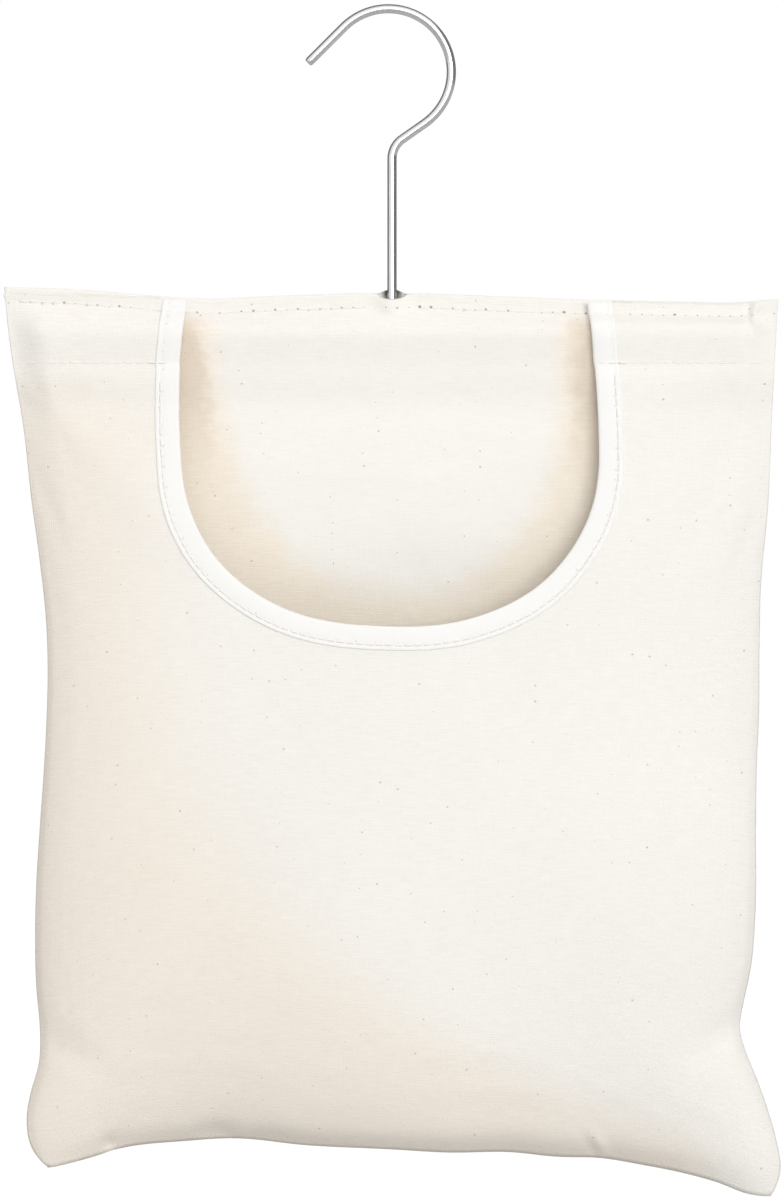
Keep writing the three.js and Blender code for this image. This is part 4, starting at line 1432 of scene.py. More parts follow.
@dataclass
class Drape:
    """Cuts both panels flat, sews them to the outline and settles them."""

    shape: BagShape
    mouth: MouthCut
    ridge_drops: tuple[float, ...] = (0.0, 0.5, 1.2, 2.2, 3.4, 4.5)
    channel_rows: int = 15
    rows: int = 76
    near_columns: tuple[float, ...] = (0.0, 1.8, 3.5, 5.2, 7.5, 10.5, 14.0)
    far_columns: int = 33
    edge_columns: tuple[float, ...] = (6.0, 4.0, 2.0, 0.0)
    bottom_columns: int = 72
    rings: int = 34
    ring_crowding: float = 1.15
    parted_rings: int = 7
    parted_below: float = -400.0
    parted_reach: float = 9.0
    crease_start: float = 2.5
    seam_share: float = 0.9999
    row_slack: float = 1e-6
    front_swell: Span = (90.0, 200.0)
    back_swell: Span = (120.0, 260.0)
    back_share: float = 0.75
    frames: int = 30

    def drops(self) -> Points:
        """The drops of the rows of points.

        Returns:
            Drops that are close together in the channel and even below it.
        """
        s = self.shape.sizes
        channel = np.linspace(s.ridge, s.row_drop, self.channel_rows)
        pouch = np.linspace(s.row_drop, s.length, self.rows + 1)[1:]
        return np.concatenate([self.ridge_drops, channel, pouch])

    def columns(self) -> Points:
        """The back panel's columns.

        Returns:
            Their shares across the bag, close together at the shank.
        """
        half = self.shape.sizes.width / 2
        edge = half - np.array(self.edge_columns)
        far = np.linspace(self.near_columns[-1], edge[0], self.far_columns)[1:]
        right = np.concatenate([self.near_columns, far, edge[1:]])
        return np.concatenate([-right[:0:-1], right]) / half

    def back_cut(self) -> Cut:
        """Cuts the back panel.

        Returns:
            The panel as a grid of rows and columns.
        """
        drops, across = np.meshgrid(self.drops(), self.columns(), indexing="ij")
        flat = np.stack([across * self.shape.half_cut(drops), -drops], axis=-1)
        points = self.shape.back_point(across, drops)
        sewn = (drops <= self.shape.sizes.row_drop) | (np.abs(across) > self.seam_share)
        sewn[-1] = True
        return Cut(flat, points, sewn)

    def front_cut(self) -> Cut:
        """Cuts the front panel.

        Returns:
            The panel as lines that run from the mouth out to the seams.
        """
        shape, s = self.shape, self.shape.sizes
        drops = self.drops()
        half = shape.half_cut(drops)
        bottom = np.linspace(-half[-1], half[-1], self.bottom_columns + 1)[1:-1]
        left, right = np.stack([-half, drops], axis=1), np.stack([half, drops], axis=1)
        under = np.stack([bottom, np.full_like(bottom, s.length)], axis=1)
        outer = np.concatenate([left, under, right[::-1]])
        chain = self.mouth.chain()
        channel = drops[drops <= s.row_drop]
        first, last = self.mouth.legs(run_lengths(chain), channel)
        last = last[::-1]
        middle = np.linspace(first[-1], last[0], len(outer) - 2 * len(channel) + 2)[1:-1]
        inner = along_chain(chain, np.concatenate([first, middle, last]))
        share = (np.linspace(0.0, 1.0, self.rings + 1) ** self.ring_crowding)[None, :, None]
        place = inner[:, None] + (outer - inner)[:, None] * share
        across = place[..., 0] / shape.half_cut(place[..., 1])
        layer = shape.layer_at(place[..., 1])
        points = shape.point(across, place[..., 1], Face.FRONT, layer, shape.inset_at(across))
        sewn = place[..., 1] <= s.row_drop + self.row_slack
        sewn[:, -1] = True
        return Cut(place * (1.0, -1.0), points, sewn)

    def cloth_of(self, cut: Cut, face: Face) -> tuple[Piece, bpy.types.ShapeKey]:
        """Makes a panel as a mesh with its flat cut as a shape of its own.

        Args:
            cut: The panel.
            face: The front or the back of the bag.

        Returns:
            The mesh's object and the shape of the flat cut.
        """
        faces = grid_faces(*cut.flat.shape[:2])
        if np.sum(grid_normals(cut.points)[..., 1]) * face.value < 0:
            faces = [tuple(reversed(f)) for f in faces]
        mesh = bpy.data.meshes.new("settling")
        mesh.from_pydata((cut.points.reshape(-1, 3) * MM).tolist(), [], faces)
        cloth = put_in_scene("settling", mesh)
        cloth.shape_key_add(name="hung")
        key = cloth.shape_key_add(name="flat_cut")
        x, height = cut.flat.reshape(-1, 2).T
        key.data.foreach_set("co", (np.stack([x, 0 * x, height], axis=1) * MM).ravel())
        return cloth, key

    def settle(self, cut: Cut, face: Face, swell: Points) -> None:
        """Lets a panel settle between its seams.

        Args:
            cut: The panel, whose points are changed.
            face: The front or the back of the bag.
            swell: How much each point is pushed out by what fills the bag, from 0 to 1.
        """
        cloth, key = self.cloth_of(cut, face)
        sewn = cloth.vertex_groups.new(name="sewn")
        sewn.add(np.flatnonzero(cut.sewn).tolist(), 1.0, "REPLACE")
        filled = cloth.vertex_groups.new(name="filled")
        for number, weight in enumerate(swell.ravel()):
            filled.add([number], float(weight), "REPLACE")
        modifier = cloth.modifiers.new("cloth", "CLOTH")
        for name, value in CLOTH_SETTINGS.items():
            setattr(modifier.settings, name, value)
        modifier.settings.rest_shape_key = key
        modifier.settings.effector_weights.gravity = 0.0
        modifier.point_cache.frame_start = 1
        modifier.point_cache.frame_end = self.frames
        scene = bpy.context.scene
        for number in range(1, self.frames + 1):
            scene.frame_set(number)
        settled = cloth.evaluated_get(bpy.context.evaluated_depsgraph_get()).data
        places = np.empty(len(settled.vertices) * 3)
        settled.vertices.foreach_get("co", places)
        cut.points = places.reshape(cut.points.shape) / MM
        mesh = cloth.data
        bpy.data.objects.remove(cloth)
        bpy.data.meshes.remove(mesh)
        scene.frame_set(1)

    def part(self, cut: Cut, axis: int, extra: Points) -> None:
        """Adds lines or rings to a panel.

        Args:
            cut: The panel, which is changed.
            axis: 0 for lines, 1 for rings.
            extra: Their places between those that it has.
        """
        whole = np.arange(cut.flat.shape[axis], dtype=float)
        places = np.sort(np.concatenate([whole, extra]))
        finer = []
        for sheet in (cut.flat, cut.points):
            turned = np.moveaxis(sheet, axis, 0)
            read = spline(whole, turned, places).reshape(len(places), *turned.shape[1:])
            finer.append(np.moveaxis(read, 0, axis))
        cut.flat, cut.points = finer
        cut.sewn = np.take(cut.sewn, np.ceil(places).astype(int), axis=axis)

    def crease(self, cut: Cut) -> None:
        """Parts the lines and rings near the creases in two, and presses the creases into the panel.

        Args:
            cut: The front panel, which is changed.
        """
        ends = (cut.points[1:, -1] + cut.points[:-1, -1]) / 2
        low = [crease.x for crease in CREASES if crease.height < self.parted_below]
        aside = np.min(np.abs(ends[:, :1] - np.array(low)), axis=1)
        near = (aside < self.parted_reach) & (ends[:, 2] < self.parted_below)
        self.part(cut, 0, np.flatnonzero(near) + 0.5)
        self.part(cut, 1, np.arange(cut.flat.shape[1])[-self.parted_rings :] - 0.5)
        loose = ease(0.0, self.crease_start, np.linalg.norm(cut.points - cut.points[:, -1:], axis=-1))
        for crease in CREASES:
            cut.points[..., 1] += crease.push(cut.points) * loose

    def hang(self) -> tuple[Cut, Cut]:
        """Cuts and settles both panels.

        Returns:
            The front and the back.
        """
        front, back = self.front_cut(), self.back_cut()
        self.settle(front, Face.FRONT, ease(*self.front_swell, -front.flat[..., 1]))
        self.settle(back, Face.BACK, self.back_share * ease(*self.back_swell, -back.flat[..., 1]))
        self.crease(front)
        return front, back


@dataclass
class BackPanel:
    """The back of the pouch, whose top is turned back over the rod and sewn down behind it."""

    shape: BagShape
    cut: Cut
    drops: Points
    across: Points
    finishes: Finishes

    def turned(self) -> tuple[Points, Points]:
        """The turned part from its hem up to the fold.

        Returns:
            Its points and their places on the flat cut.
        """
        s = self.shape.sizes
        channel = self.drops[self.drops <= s.row_drop]
        drops, across = np.meshgrid(channel[:0:-1], self.across, indexing="ij")
        points = self.shape.point(across, drops, Face.BACK)
        row, below = self.cut.points[len(channel) - 1], self.cut.points[len(channel)]
        share = s.hem_below_row / (self.drops[len(channel)] - s.row_drop)
        hem = [row + (below - row) * share * part + (0.0, 2 * s.sewn, 0.0) for part in (1.0, 0.5)]
        points = np.concatenate([np.array(hem), points])
        reach = np.concatenate([[s.hem_drop, s.hem_drop - s.hem_below_row / 2], channel[:0:-1]])
        return points, paired(self.across[None, :] * s.width / 2, reach[:, None])

    def slotted(self, rows: int, fold: int) -> tuple[Faces, Points]:
        """The panel's faces without those in the slot for the shank.

        Args:
            rows: How many rows of points the whole panel has.
            fold: The row that lies on the fold.

        Returns:
            The faces, and the numbers of the points that they keep.
        """
        s = self.shape.sizes
        columns = len(self.across)
        near = np.abs(self.across * s.width / 2) <= s.slot_open
        faces = []
        for number, face in enumerate(grid_faces(rows, columns)):
            i, j = divmod(number, columns - 1)
            if not (i in (fold - 1, fold) and near[j] and near[j + 1]):
                faces.append(face)
        used = np.unique(np.array(faces))
        renumber = np.full(rows * columns, -1)
        renumber[used] = np.arange(len(used))
        return [tuple(int(renumber[c]) for c in face) for face in faces], used

    def build(self) -> Piece:
        """Makes the panel with the slot for the shank left open in its fold.

        Returns:
            The panel, with painted light and shade on its inside.
        """
        s = self.shape.sizes
        turned, turned_flat = self.turned()
        beside = np.maximum(1.0 - np.abs(turned[..., 0]) / s.slot_open, 0.0)
        turned[..., 2] += s.slot_rise * beside * (1.0 - ease(0.0, s.ridge, turned_flat[..., 1]))
        panel = self.cut.points.copy()
        panel[0, :, 1] = 0.0
        notch = np.cos(np.minimum(np.abs(panel[..., 0]) / s.slot_half, 1.0) * math.pi / 2) ** 2
        panel[..., 2] -= s.slot_notch * notch * (1.0 - ease(0.0, s.slot_fade, self.drops))[:, None]
        grid = np.concatenate([turned, panel])
        flat = np.concatenate([turned_flat, self.cut.flat]).reshape(-1, 2)
        faces, used = self.slotted(len(grid), len(turned))
        points = grid.reshape(-1, 3)[used]
        piece = make_piece("canvas_back_panel", self.finishes.lining, points, faces, flat[used])
        piece.data.materials.append(self.finishes.canvas)
        thicken(piece, s.cloth).material_offset = 1
        settle_in(piece, Body.BAG, Slot.CANVAS, "back_panel")
        return piece


@dataclass
class FrontPanel:
    """The front of the pouch with the mouth cut out of it, and the hems turned in behind its shoulders."""

    shape: BagShape
    mouth: MouthCut
    cut: Cut
    drops: Points
    finishes: Finishes
    hem_gap: float = 9.2
    hem_end: float = 138.0
    hem_columns: int = 24
    hem_step: float = 1.5
    fold_lift: float = 0.5

    def build(self) -> Piece:
        """Makes the panel.

        Returns:
            The panel.
        """
        faces = grid_faces(*self.cut.flat.shape[:2])
        piece = make_piece("canvas_front_panel", self.finishes.canvas, self.cut.points, faces, self.cut.flat)
        thicken(piece, self.shape.sizes.cloth)
        settle_in(piece, Body.BAG, Slot.CANVAS, "front_panel")
        return piece

    def build_hem(self, side: Side) -> Piece:
        """Makes the hem behind one shoulder, folded in from the panel's top edge.

        Args:
            side: The shoulder's side.

        Returns:
            The hem.
        """
        s = self.shape.sizes
        start = self.mouth.top_half + self.hem_gap + side.value * self.mouth.middle
        across = side.value * np.linspace(start, self.hem_end, self.hem_columns) / (s.width / 2)
        channel = self.drops[self.drops <= s.row_drop]
        drops = np.concatenate([channel, [s.row_drop + self.hem_step, s.hem_drop]])
        layer = np.full_like(drops, s.hem_layer)
        layer[0] = (s.hem_layer + s.shoulder_layer) / 2
        inset = self.shape.inset_at(across)[None, :]
        sewn = np.minimum(drops, s.row_drop)[:, None]
        grid = self.shape.point(across[None, :], sewn, Face.FRONT, layer[:, None], inset)
        grid[..., 2] -= np.maximum(drops - s.row_drop, 0.0)[:, None]
        grid[0, :, 2] += self.fold_lift
        flat = paired(across[None, :] * s.width / 2, drops[:, None])
        name = side.name.lower()
        faces = grid_faces(len(drops), len(across))
        piece = make_piece(f"{name}_hem", self.finishes.canvas, grid, faces, flat)
        thicken(piece, s.cloth)
        settle_in(piece, Body.BAG, Slot.CANVAS, f"{name}_shoulder_hem")
        return piece


@dataclass
class Binding:
    """The white tape folded over the mouth's cut edge."""

    cut: Cut
    finishes: Finishes
    row: float = 7.2
    lip: float = 0.9
    inward_ring: int = 4
    least_lean: float = 0.45
    outside: tuple[Span, ...] = (
        (8.1, 0.38), (8.2, 0.72), (7.95, 1.0), (7.4, 1.04), (6.85, 0.97), (6.3, 0.82), (5.75, 0.98),
        (4.6, 1.16), (2.6, 1.2), (0.8, 1.18), (-0.1, 1.08), (-0.62, 0.78), (-0.87, 0.36), (-0.9, 0.0),
        (-0.87, -0.36), (-0.62, -0.78), (-0.1, -1.05), (0.8, -1.1), (4.0, -1.08), (7.5, -1.0),
        (8.0, -0.9), (8.1, -0.38),
    )
    inside: tuple[Span, ...] = (
        (7.6, -0.36), (4.0, -0.36), (0.5, -0.36), (0.2, 0.0), (0.5, 0.36), (4.0, 0.36), (7.6, 0.36),
    )

    def surface(self, aside: Points, out: Points) -> Points:
        """Points beside the mouth's cut edge.

        Args:
            aside: Distances from the cut edge into the panel.
            out: Distances out of the panel at each of them.

        Returns:
            One row of points for each line of the panel that starts at the mouth.
        """
        points = self.cut.points
        normals = unit(grid_normals(points))
        normals *= Face.FRONT.value * np.sign(np.sum(normals[..., 1]))
        edge = points[:, 0]
        way = unit(np.gradient(edge, axis=0))
        inward = unit(points[:, self.inward_ring] - edge)
        square = unit(np.cross(normals[:, 0], way))
        lean = np.clip(np.abs(np.sum(square * inward, axis=1)), self.least_lean, 1.0)
        rows = []
        for k, line in enumerate(points):
            reach = np.maximum(aside, 0.0) / lean[k]
            run = run_lengths(line)
            place = read_along(run, line, reach)
            normal = unit(read_along(run, normals[k], reach))
            before = np.minimum(aside, 0.0)[:, None] * inward[k] / lean[k]
            rows.append(place + before + normal * out[:, None])
        return np.array(rows)

    def build(self) -> Piece:
        """Makes the tape.

        Returns:
            The tape.
        """
        profile = np.array(self.outside + self.inside)
        grid = self.surface(profile[:, 0], profile[:, 1])
        run = run_lengths(self.cut.points[:, 0])
        fold = int(np.argmin(np.array(self.outside)[:, 0]))
        over = run_lengths(profile) - run_lengths(profile)[fold]
        flat = paired(run[:, None], -over[None, :])
        piece = make_piece("mouth_tape", self.finishes.tape, grid, tube_faces(*grid.shape[:2]), flat)
        face_out(piece)
        parted = piece.modifiers.new("finer", "SUBSURF")
        parted.levels = parted.render_levels = 1
        settle_in(piece, Body.BAG, Slot.TAPE, "mouth_binding")
        return piece


@dataclass
class Stitching:
    """Rows of single stitches, each a short length of thread between two needle holes."""

    shape: BagShape
    binding: Binding
    mouth: MouthCut
    finishes: Finishes
    pitch: float = 4.2
    tape_pitch: float = 3.4
    tape_start: float = -28.5
    tape_groove: float = 0.82
    tape_reach: float = 8.6
    tape_height: float = 1.1
    edge_slack: float = 0.5
    side_gap: float = 1.5
    slot_gap: float = 1.0
    radius: float = 0.28
    longest: float = 4.9
    end_gap: float = 0.03
    shoulder_sink: float = 0.2
    middle_sink: float = 0.5
    sides: int = 8
    profile: tuple[Triple, ...] = (
        (0.0, -0.45, 0.7), (0.04, -0.05, 0.85), (0.12, 0.17, 1.0), (0.3, 0.24, 1.05), (0.5, 0.26, 1.05),
        (0.7, 0.24, 1.05), (0.88, 0.17, 1.0), (0.96, -0.05, 0.85), (1.0, -0.45, 0.7),
    )

    def stitches(self, holes: Points, normals: Points) -> tuple[Points, Faces, Points]:
        """Threads between holes.

        Args:
            holes: The needle holes on the outside of the cloth, in order.
            normals: The way out of the cloth at each hole.

        Returns:
            Points, faces and the length and girth of each point for the twist.
        """
        points, faces, flat = [], [], []
        angles = ring_angles(self.sides)
        girth = angles / (2 * math.pi) / MM
        rings = len(self.profile)
        inner = 1.0 - 2 * self.end_gap
        for first, last, out_first, out_last in zip(holes, holes[1:], normals, normals[1:]):
            way = unit(last - first)
            length = float(np.linalg.norm(last - first))
            if length > self.longest:
                continue
            faces += tube_faces(rings, self.sides, len(points) * self.sides)
            for share, lift, size in self.profile:
                out = unit(out_first + (out_last - out_first) * share)
                aside = unit(np.cross(out, way))
                middle = first + (last - first) * (self.end_gap + inner * share) + out * lift
                ring = np.cos(angles)[:, None] * aside + np.sin(angles)[:, None] * out
                points.append(middle + ring * self.radius * size)
                flat.append(np.stack([np.full(self.sides, share * length), girth], axis=1))
        return np.concatenate(points), faces, np.concatenate(flat)

    def layer_of(self, x: Points, drop: float) -> tuple[Points, Points]:
        """The cloth that a row on the front lies on.

        Args:
            x: The X of its holes.
            drop: Its drop below the top edge.

        Returns:
            The layer under each hole, and how far out of it the face of the cloth or the tape is.
        """
        s = self.shape.sizes
        beside = self.mouth.beside(x, drop)
        on_front = beside > -self.edge_slack
        on_tape = on_front & (beside < self.tape_reach)
        layer = np.where(on_front, s.shoulder_layer, 0.0)
        return layer, np.where(on_tape, self.tape_height, s.cloth / 2)

    def row(
        self, start: float, end: float, drop: float, face: Face, drawn_in: bool = False
    ) -> tuple[Points, Points]:
        """Needle holes of a row across the bag.

        Args:
            start: Its first X.
            end: Its last X.
            drop: Its drop below the top edge.
            face: The front or the back of the bag.
            drawn_in: Whether its thread is drawn deep into the cloth.

        Returns:
            The holes and the ways out of the cloth.
        """
        s = self.shape.sizes
        first, last = math.ceil(start / self.pitch - 0.5), math.floor(end / self.pitch - 0.5)
        x = (np.arange(first, last + 1) + 0.5) * self.pitch
        layer, out = self.layer_of(x, drop)
        if face is Face.BACK:
            layer, out = 0.0 * layer, np.full_like(out, s.cloth / 2)
        if drawn_in:
            out = out - np.where(layer > 0, self.shoulder_sink, self.middle_sink)
        across = x / (s.width / 2)
        holes = self.shape.point(across, np.full_like(x, drop), face, layer)
        normals = np.tile((0.0, float(face.value), 0.0), (len(x), 1))
        return holes + normals * out[:, None], normals

    def tape_row(self) -> tuple[Points, Points]:
        """Needle holes along the tape, below the rows that cross the bag's top.

        Returns:
            The holes and the ways out of the cloth.
        """
        aside = np.full(2, self.binding.row - self.binding.lip)
        chain, base = self.binding.surface(aside, np.array([self.tape_groove, 0.0])).swapaxes(0, 1)
        run = run_lengths(self.binding.cut.points[:, 0])
        half = len(chain) // 2
        height = chain[:, 2] - self.shape.sizes.top
        low = np.interp(self.tape_start, height[:half][::-1], run[:half][::-1])
        high = np.interp(self.tape_start, height[half:], run[half:])
        first, last = math.ceil(low / self.tape_pitch), math.floor(high / self.tape_pitch)
        places = (np.arange(first, last) + 0.5) * self.tape_pitch
        holes = read_along(run, chain, places)
        return holes, unit(holes - read_along(run, base, places))

    def build(self) -> None:
        """Makes every row."""
        s = self.shape.sizes
        edge, gap = s.width / 2 - self.side_gap, s.slot_half - self.slot_gap
        rows = {
            "top_thread_left": self.row(-edge, -gap, s.ridge, Face.FRONT),
            "top_thread_right": self.row(gap, edge, s.ridge, Face.FRONT),
            "top_bobbin_left": self.row(-edge, -gap, s.ridge, Face.BACK),
            "top_bobbin_right": self.row(gap, edge, s.ridge, Face.BACK),
            "channel_thread": self.row(-edge, edge, s.row_drop, Face.FRONT, drawn_in=True),
            "channel_bobbin": self.row(-edge, edge, s.row_drop, Face.BACK),
            "binding_thread": self.tape_row(),
        }
        for node, (holes, normals) in rows.items():
            piece = make_piece(f"{node}_stitches", self.finishes.thread, *self.stitches(holes, normals))
            face_out(piece)
            settle_in(piece, Body.BAG, Slot.THREAD, node)


@dataclass
class SeamAllowances:
    """The overlocked cloth edges along the seams, inside the bag."""

    shape: BagShape
    finishes: Finishes
    width: float = 10.0
    start: float = 0.9
    thickness: float = 1.1
    columns: int = 6
    bottom_reach: float = 0.84
    bottom_points: int = 120
    side_drops: Span = (94.0, 300.0)
    side_points: int = 110
    ripples: tuple[Triple, ...] = ((0.35, 9.0, 0.0), (0.25, 3.7, 1.0))
    weave_start: float = 40.0
    loop_pitch: float = 2.6
    loop_depth: float = 6.0
    loop_slack: Span = (0.3, 0.35)
    loop_lean: float = 0.4
    thread_radius: float = 0.22
    thread_sides: int = 6

    def seam(self, which: Seam) -> tuple[Points, Points]:
        """A run of the seam that an allowance lies along.

        Args:
            which: The seam.

        Returns:
            Its points and the ways into the bag.
        """
        if which is Seam.BOTTOM:
            across = np.linspace(-self.bottom_reach, self.bottom_reach, self.bottom_points)
            edge = self.halfway(across, np.full_like(across, self.shape.sizes.length))
            return edge, np.tile((0.0, 0.0, 1.0), (len(edge), 1))
        drops = np.linspace(*self.side_drops, self.side_points)
        edge = self.halfway(np.full_like(drops, which.value), drops)
        inner = 1.0 - (self.start + self.width) / self.shape.half_cut(drops)
        return edge, unit((self.halfway(which.value * inner, drops) - edge) * (1.0, 1.0, 0.0))

    def halfway(self, across: Points, drop: Points) -> Points:
        """Points halfway between the panels."""
        return (self.shape.back_point(across, drop) + self.shape.point(across, drop, Face.FRONT)) / 2

    def build(self, which: Seam) -> None:
        """Makes one allowance and the thread looped over its edge.

        Args:
            which: The seam.
        """
        edge, inward = self.seam(which)
        run = run_lengths(edge)
        ripple = sum(size * np.sin(run / length + shift) for size, length, shift in self.ripples)
        shares = np.linspace(0.0, 1.0, self.columns)
        grid = edge[:, None] + inward[:, None] * (self.start + self.width * shares)[None, :, None]
        grid[..., 1] += ripple[:, None] * shares[None, :] ** 2
        flat = paired(run[:, None], self.weave_start + shares[None, :] * self.width)
        name = which.name.lower()
        faces = grid_faces(len(run), self.columns)
        strip = make_piece(f"{name}_allowance", self.finishes.canvas, grid, faces, flat)
        thicken(strip, self.thickness)
        settle_in(strip, Body.BAG, Slot.CANVAS, f"{name}_seam_allowance")
        thread = make_piece(f"{name}_overlock", self.finishes.thread, *self.loops(grid, run))
        face_out(thread)
        settle_in(thread, Body.BAG, Slot.THREAD)

    def loops(self, grid: Points, run: Points) -> tuple[Points, Faces, Points]:
        """The thread looped over an allowance's edge.

        Args:
            grid: The points of the strip, by row and column.
            run: The place of each row along the seam.

        Returns:
            Points, faces and the length and girth of each point for the twist.
        """
        lift = self.thickness / 2 + self.thread_radius
        inner, (near, tip) = self.width - self.loop_depth, self.loop_slack
        half = [(self.width + near, lift * self.loop_lean), (inner, lift), (self.width, lift)]
        turns = np.array(half + [(self.width + tip, 0.0)] + [(aside, -out) for aside, out in half[::-1]])
        count = int(run[-1] / self.loop_pitch)
        number, step = np.divmod(np.arange(count * len(turns)), len(turns))
        at = (number + step / len(turns)) * self.loop_pitch
        first, last = (read_along(run, grid[:, column], at) for column in (0, -1))
        path = first + (last - first) * turns[step, :1] / self.width
        path[:, 1] += turns[step, 1]
        return tube(path, self.thread_radius, self.thread_sides)


@dataclass
class WireHook:
    """The bent wire hook, with the pinched stop that sits on the rod and the upset head under it."""

    finishes: Finishes
    wire: float = 1.75
    crook: float = 23.75
    crook_middle: Span = (-1.4, -22.0)
    crook_points: int = 90
    tip_angle: float = math.radians(135.0)
    tip_length: float = 19.0
    tip_shares: tuple[float, ...] = (1.0, 0.985, 0.965, 0.93, 0.75, 0.5, 0.25)
    tip_rounding: tuple[float, ...] = (0.72, 0.9, 0.97)
    neck_angle: float = math.radians(-55.0)
    neck_bend: float = 9.0
    neck_points: int = 16
    shank_points: int = 24
    stop: Span = (-113.45, 4.0)
    stop_reach: float = 2.7
    stop_thickness: float = 1.2
    stop_core: float = 0.25
    stop_points: int = 28
    pinched_below: float = -90.0
    head: Span = (-126.3, -125.1)
    head_radius: float = 2.8
    head_neck: Span = (0.9, 0.15)
    head_top: Span = (0.9, 0.3)
    head_foot: Span = (0.85, 0.35)
    sides: int = 28

    def crook_point(self, angle: Points) -> Points:
        """Points of the crook at angles from +X."""
        x = self.crook_middle[0] + self.crook * np.cos(angle)
        return np.stack([x, 0.0 * x, self.crook_middle[1] + self.crook * np.sin(angle)], axis=-1)

    def path(self) -> Points:
        """The wire's middle.

        Returns:
            Points from its tip to the end of its shank.
        """
        start = self.crook_point(np.array(self.tip_angle))
        way = np.array((-math.sin(self.tip_angle), 0.0, math.cos(self.tip_angle)))
        ends = np.array(self.tip_shares) * self.tip_length
        tip = start + way * ends[:, None]
        round_it = self.crook_point(np.linspace(self.tip_angle, self.neck_angle, self.crook_points))
        leave = round_it[-1]
        neck = np.array((math.sin(self.neck_angle), 0.0, -math.cos(self.neck_angle)))
        corner = leave + neck * (leave[0] / -neck[0])
        turn = math.acos(-neck[2])
        middle = corner[2] - self.neck_bend * math.tan(turn / 2)
        angles = math.pi - turn * (1.0 - np.linspace(0.0, 1.0, self.neck_points))
        bend_x, bend_z = self.neck_bend * (1 + np.cos(angles)), middle + self.neck_bend * np.sin(angles)
        bend = np.stack([bend_x, 0 * angles, bend_z], axis=1)
        low, high = self.stop[0] - self.stop[1], self.stop[0] + self.stop[1]
        straight = np.linspace(bend[-1, 2], high, self.shank_points)[1:]
        pinched = np.linspace(high, low, self.stop_points)[1:]
        heights = np.concatenate([straight, pinched, [self.head[1]]])
        shank = np.stack([0 * heights, 0 * heights, heights], axis=1)
        return np.concatenate([tip, round_it, bend[1:], shank])

    def build(self) -> None:
        """Makes the hook."""
        path = self.path()
        size = np.full(len(path), self.wire)
        size[: len(self.tip_rounding)] = self.wire * np.array(self.tip_rounding)
        points, faces, flat = tube(path, size, self.sides)
        head, head_faces = self.make_head(len(points))
        points = np.concatenate([self.pinch(points), head])
        flat = np.concatenate([flat, np.zeros((len(head), 2))])
        piece = make_piece("wire_hook", self.finishes.wire, points, faces + head_faces, flat)
        face_out(piece)
        settle_in(piece, Body.HOOK, Slot.WIRE, "hook")

    def pinch(self, points: Points) -> Points:
        """Flattens the wire where it is pinched to make the stop.

        Args:
            points: The points of the round wire.

        Returns:
            The points of the pinched wire.
        """
        middle, half = self.stop
        near = 1.0 - ease(self.stop_core * half, half, np.abs(points[:, 2] - middle))
        near = np.where(points[:, 2] < self.pinched_below, near, 0.0)
        wide = 1.0 + (self.stop_reach / self.wire - 1.0) * near
        thin = 1.0 + (self.stop_thickness / self.wire - 1.0) * near
        return points * np.stack([wide, thin, np.ones_like(wide)], axis=1)

    def make_head(self, start: int) -> tuple[Points, Faces]:
        """The upset head at the shank's lower end.

        Args:
            start: The number of its first point.

        Returns:
            Its points and faces.
        """
        (low, high), radius = self.head, self.head_radius
        rings = [
            (self.wire * self.head_neck[0], high + self.head_neck[1]),
            (radius * self.head_top[0], high),
            (radius, high - self.head_top[1]),
            (radius, low + self.head_foot[1]),
            (radius * self.head_foot[0], low),
        ]
        angles = ring_angles(self.sides)
        x, y = np.cos(angles), np.sin(angles)
        points = [np.stack([size * x, size * y, 0 * x + height], axis=1) for size, height in rings]
        return np.concatenate(points), tube_faces(len(rings), self.sides, start)


def dress_node(name: str, material: Material) -> None:
    """Gives a CAD node that stays a finish of its own.

    Args:
        name: The node's name.
        material: Its finish.
    """
    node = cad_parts[name]
    node.data.materials.clear()
    node.data.materials.append(material)
    LOG.info("%s: CAD node with %s", name, material.name)


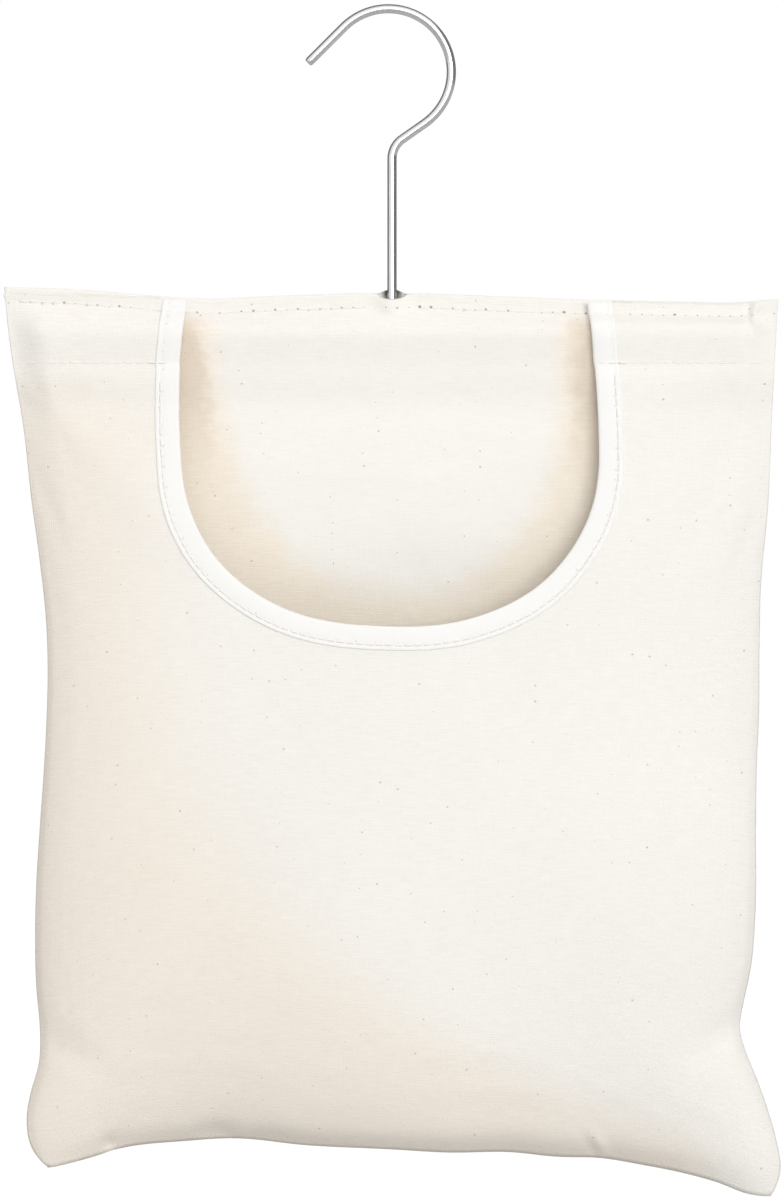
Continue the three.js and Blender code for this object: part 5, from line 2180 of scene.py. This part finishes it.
@dataclass
class Studio:
    """A pale floor, soft lamps and the camera at the photograph's place."""

    sensor: float = 36.0
    distance: float = 2.2
    middle_height: float = -0.2209
    frame_height: float = 0.4519
    floor_height: float = -0.62
    floor_reach: float = 8000.0
    floor_tone: float = 0.62
    floor_roughness: float = 0.9
    floor_glow: float = 0.54
    key_from: Triple = (0.28, -0.95, 0.15)
    key_tint: Colour = (0.98, 0.99, 1.0)
    key_power: float = 1.69
    key_spread: float = math.radians(40.0)
    above: float = 0.76
    below: float = 0.64
    bounce: Colour = (1.0, 0.975, 0.945)
    wall_tilt: float = math.radians(40.0)
    bright_sector: Span = (math.radians(-74.0), math.radians(12.0))
    soft_edge: float = math.radians(10.0)
    flag_left: float = 0.22
    flag_right: float = 0.20

    def build(self) -> None:
        """Makes the camera, the lamps, the world and the floor."""
        scene = bpy.context.scene
        scene.view_settings.view_transform = "Standard"
        camera = bpy.data.cameras.new("photograph")
        camera.sensor_width = self.sensor
        camera.lens = self.sensor * self.distance / self.frame_height
        placed = put_in_scene("photograph", camera)
        placed.location = (0.0, -self.distance, self.middle_height)
        placed.rotation_euler = (math.radians(90.0), 0.0, 0.0)
        scene.camera = placed
        self.key()
        self.world()
        self.floor()

    def key(self) -> None:
        """Makes a wide soft lamp in front of the bag, above it and to its right."""
        light = bpy.data.lights.new("key", "SUN")
        light.energy = self.key_power
        light.color = self.key_tint
        light.angle = self.key_spread
        lamp = put_in_scene("key", light)
        lamp.rotation_euler = (-Vector(self.key_from)).to_track_quat("-Z", "Y").to_euler()

    def seen(self, sheet: NodeSheet, path: Node) -> Socket:
        """Whether a ray comes from the camera, also through something clear."""
        return sheet.math("MAXIMUM", path.outputs["Is Camera Ray"], path.outputs["Is Transmission Ray"])

    def world(self) -> None:
        """Makes soft light all round, white to the camera, and a white wall between flags in reflections."""
        world = bpy.data.worlds.new("studio")
        world.use_nodes = True
        bpy.context.scene.world = world
        sheet = NodeSheet(world.node_tree)
        background = world.node_tree.nodes["Background"]
        path = sheet.node("ShaderNodeLightPath")
        colour = sheet.mix(path.outputs["Is Diffuse Ray"], WHITE, self.bounce)
        along, depth, height = sheet.parts(sheet.node("ShaderNodeTexCoord").outputs["Generated"])
        soft = sheet.spread(sheet.math("MULTIPLY_ADD", height, 0.5, 0.5), self.below, self.above)
        level = sheet.blend(self.seen(sheet, path), soft, 1.0)
        lower = sheet.math("MULTIPLY", height, -math.sin(self.wall_tilt))
        aside = sheet.math("MULTIPLY_ADD", along, math.cos(self.wall_tilt), lower)
        angle = sheet.math("ARCTAN2", aside, sheet.math("MULTIPLY", depth, -1.0))
        after_left, after_middle, after_right = (
            sheet.step(angle, edge - self.soft_edge, edge + self.soft_edge)
            for edge in (self.bright_sector[0], 0.0, self.bright_sector[1])
        )
        wall = sheet.math("MULTIPLY", after_left, sheet.math("SUBTRACT", 1.0, after_right))
        flags = sheet.spread(after_middle, self.flag_left, self.flag_right)
        level = sheet.blend(path.outputs["Is Glossy Ray"], level, sheet.blend(wall, flags, 1.0))
        sheet.dress(background, {"Color": colour, "Strength": level})

    def floor(self) -> None:
        """Makes a wide pale floor under the bag, white to the camera but for the bag's shadow."""
        material, sheet, shader = start_material("pale_floor")
        tone = (self.floor_tone, self.floor_tone, self.floor_tone)
        matt = {"Base Color": tone, "Roughness": self.floor_roughness, "Specular IOR Level": 0.0}
        sheet.dress(shader, matt)
        seen = self.seen(sheet, sheet.node("ShaderNodeLightPath"))
        lit = {"Color": WHITE, "Strength": sheet.math("MULTIPLY", seen, self.floor_glow)}
        glow = sheet.node("ShaderNodeEmission", lit)
        both = sheet.node("ShaderNodeAddShader", {0: shader.outputs[0], 1: glow.outputs[0]})
        sheet.dress(material.node_tree.nodes["Material Output"], {"Surface": both.outputs[0]})
        corners = np.array([(-1.0, -1.0, 0.0), (1.0, -1.0, 0.0), (1.0, 1.0, 0.0), (-1.0, 1.0, 0.0)])
        points = corners * self.floor_reach + (0.0, 0.0, self.floor_height / MM)
        floor = make_piece("floor", material, points, [(0, 1, 2, 3)])


def main() -> None:
    """Builds every piece in order."""
    logging.basicConfig(level=logging.INFO, format="%(name)s %(message)s")
    Studio().build()
    effects = Effects()
    finishes = Finishes(
        CanvasFinish(effects).material(),
        LiningFinish(effects).material(),
        TapeFinish(effects).material(Binding.row),
        ThreadFinish(effects).material(),
        WireFinish(effects).material(),
        WoodFinish(effects).material(),
    )
    shape = BagShape(BagSizes(), Outline())
    mouth = MouthCut()
    drape = Drape(shape, mouth)
    front, back = drape.hang()
    back_piece = BackPanel(shape, back, drape.drops(), drape.columns(), finishes).build()
    panel = FrontPanel(shape, mouth, front, drape.drops(), finishes)
    front_piece = panel.build()
    hems = [panel.build_hem(side) for side in Side]
    binding = Binding(front, finishes)
    tape = binding.build()
    Stitching(shape, binding, mouth, finishes).build()
    allowances = SeamAllowances(shape, finishes)
    for which in Seam:
        allowances.build(which)
    WireHook(finishes).build()
    dress_node("hanger_rod", finishes.wood)
    dress_node("shank_washer", finishes.wire)


if __name__ == "__main__":
    main()
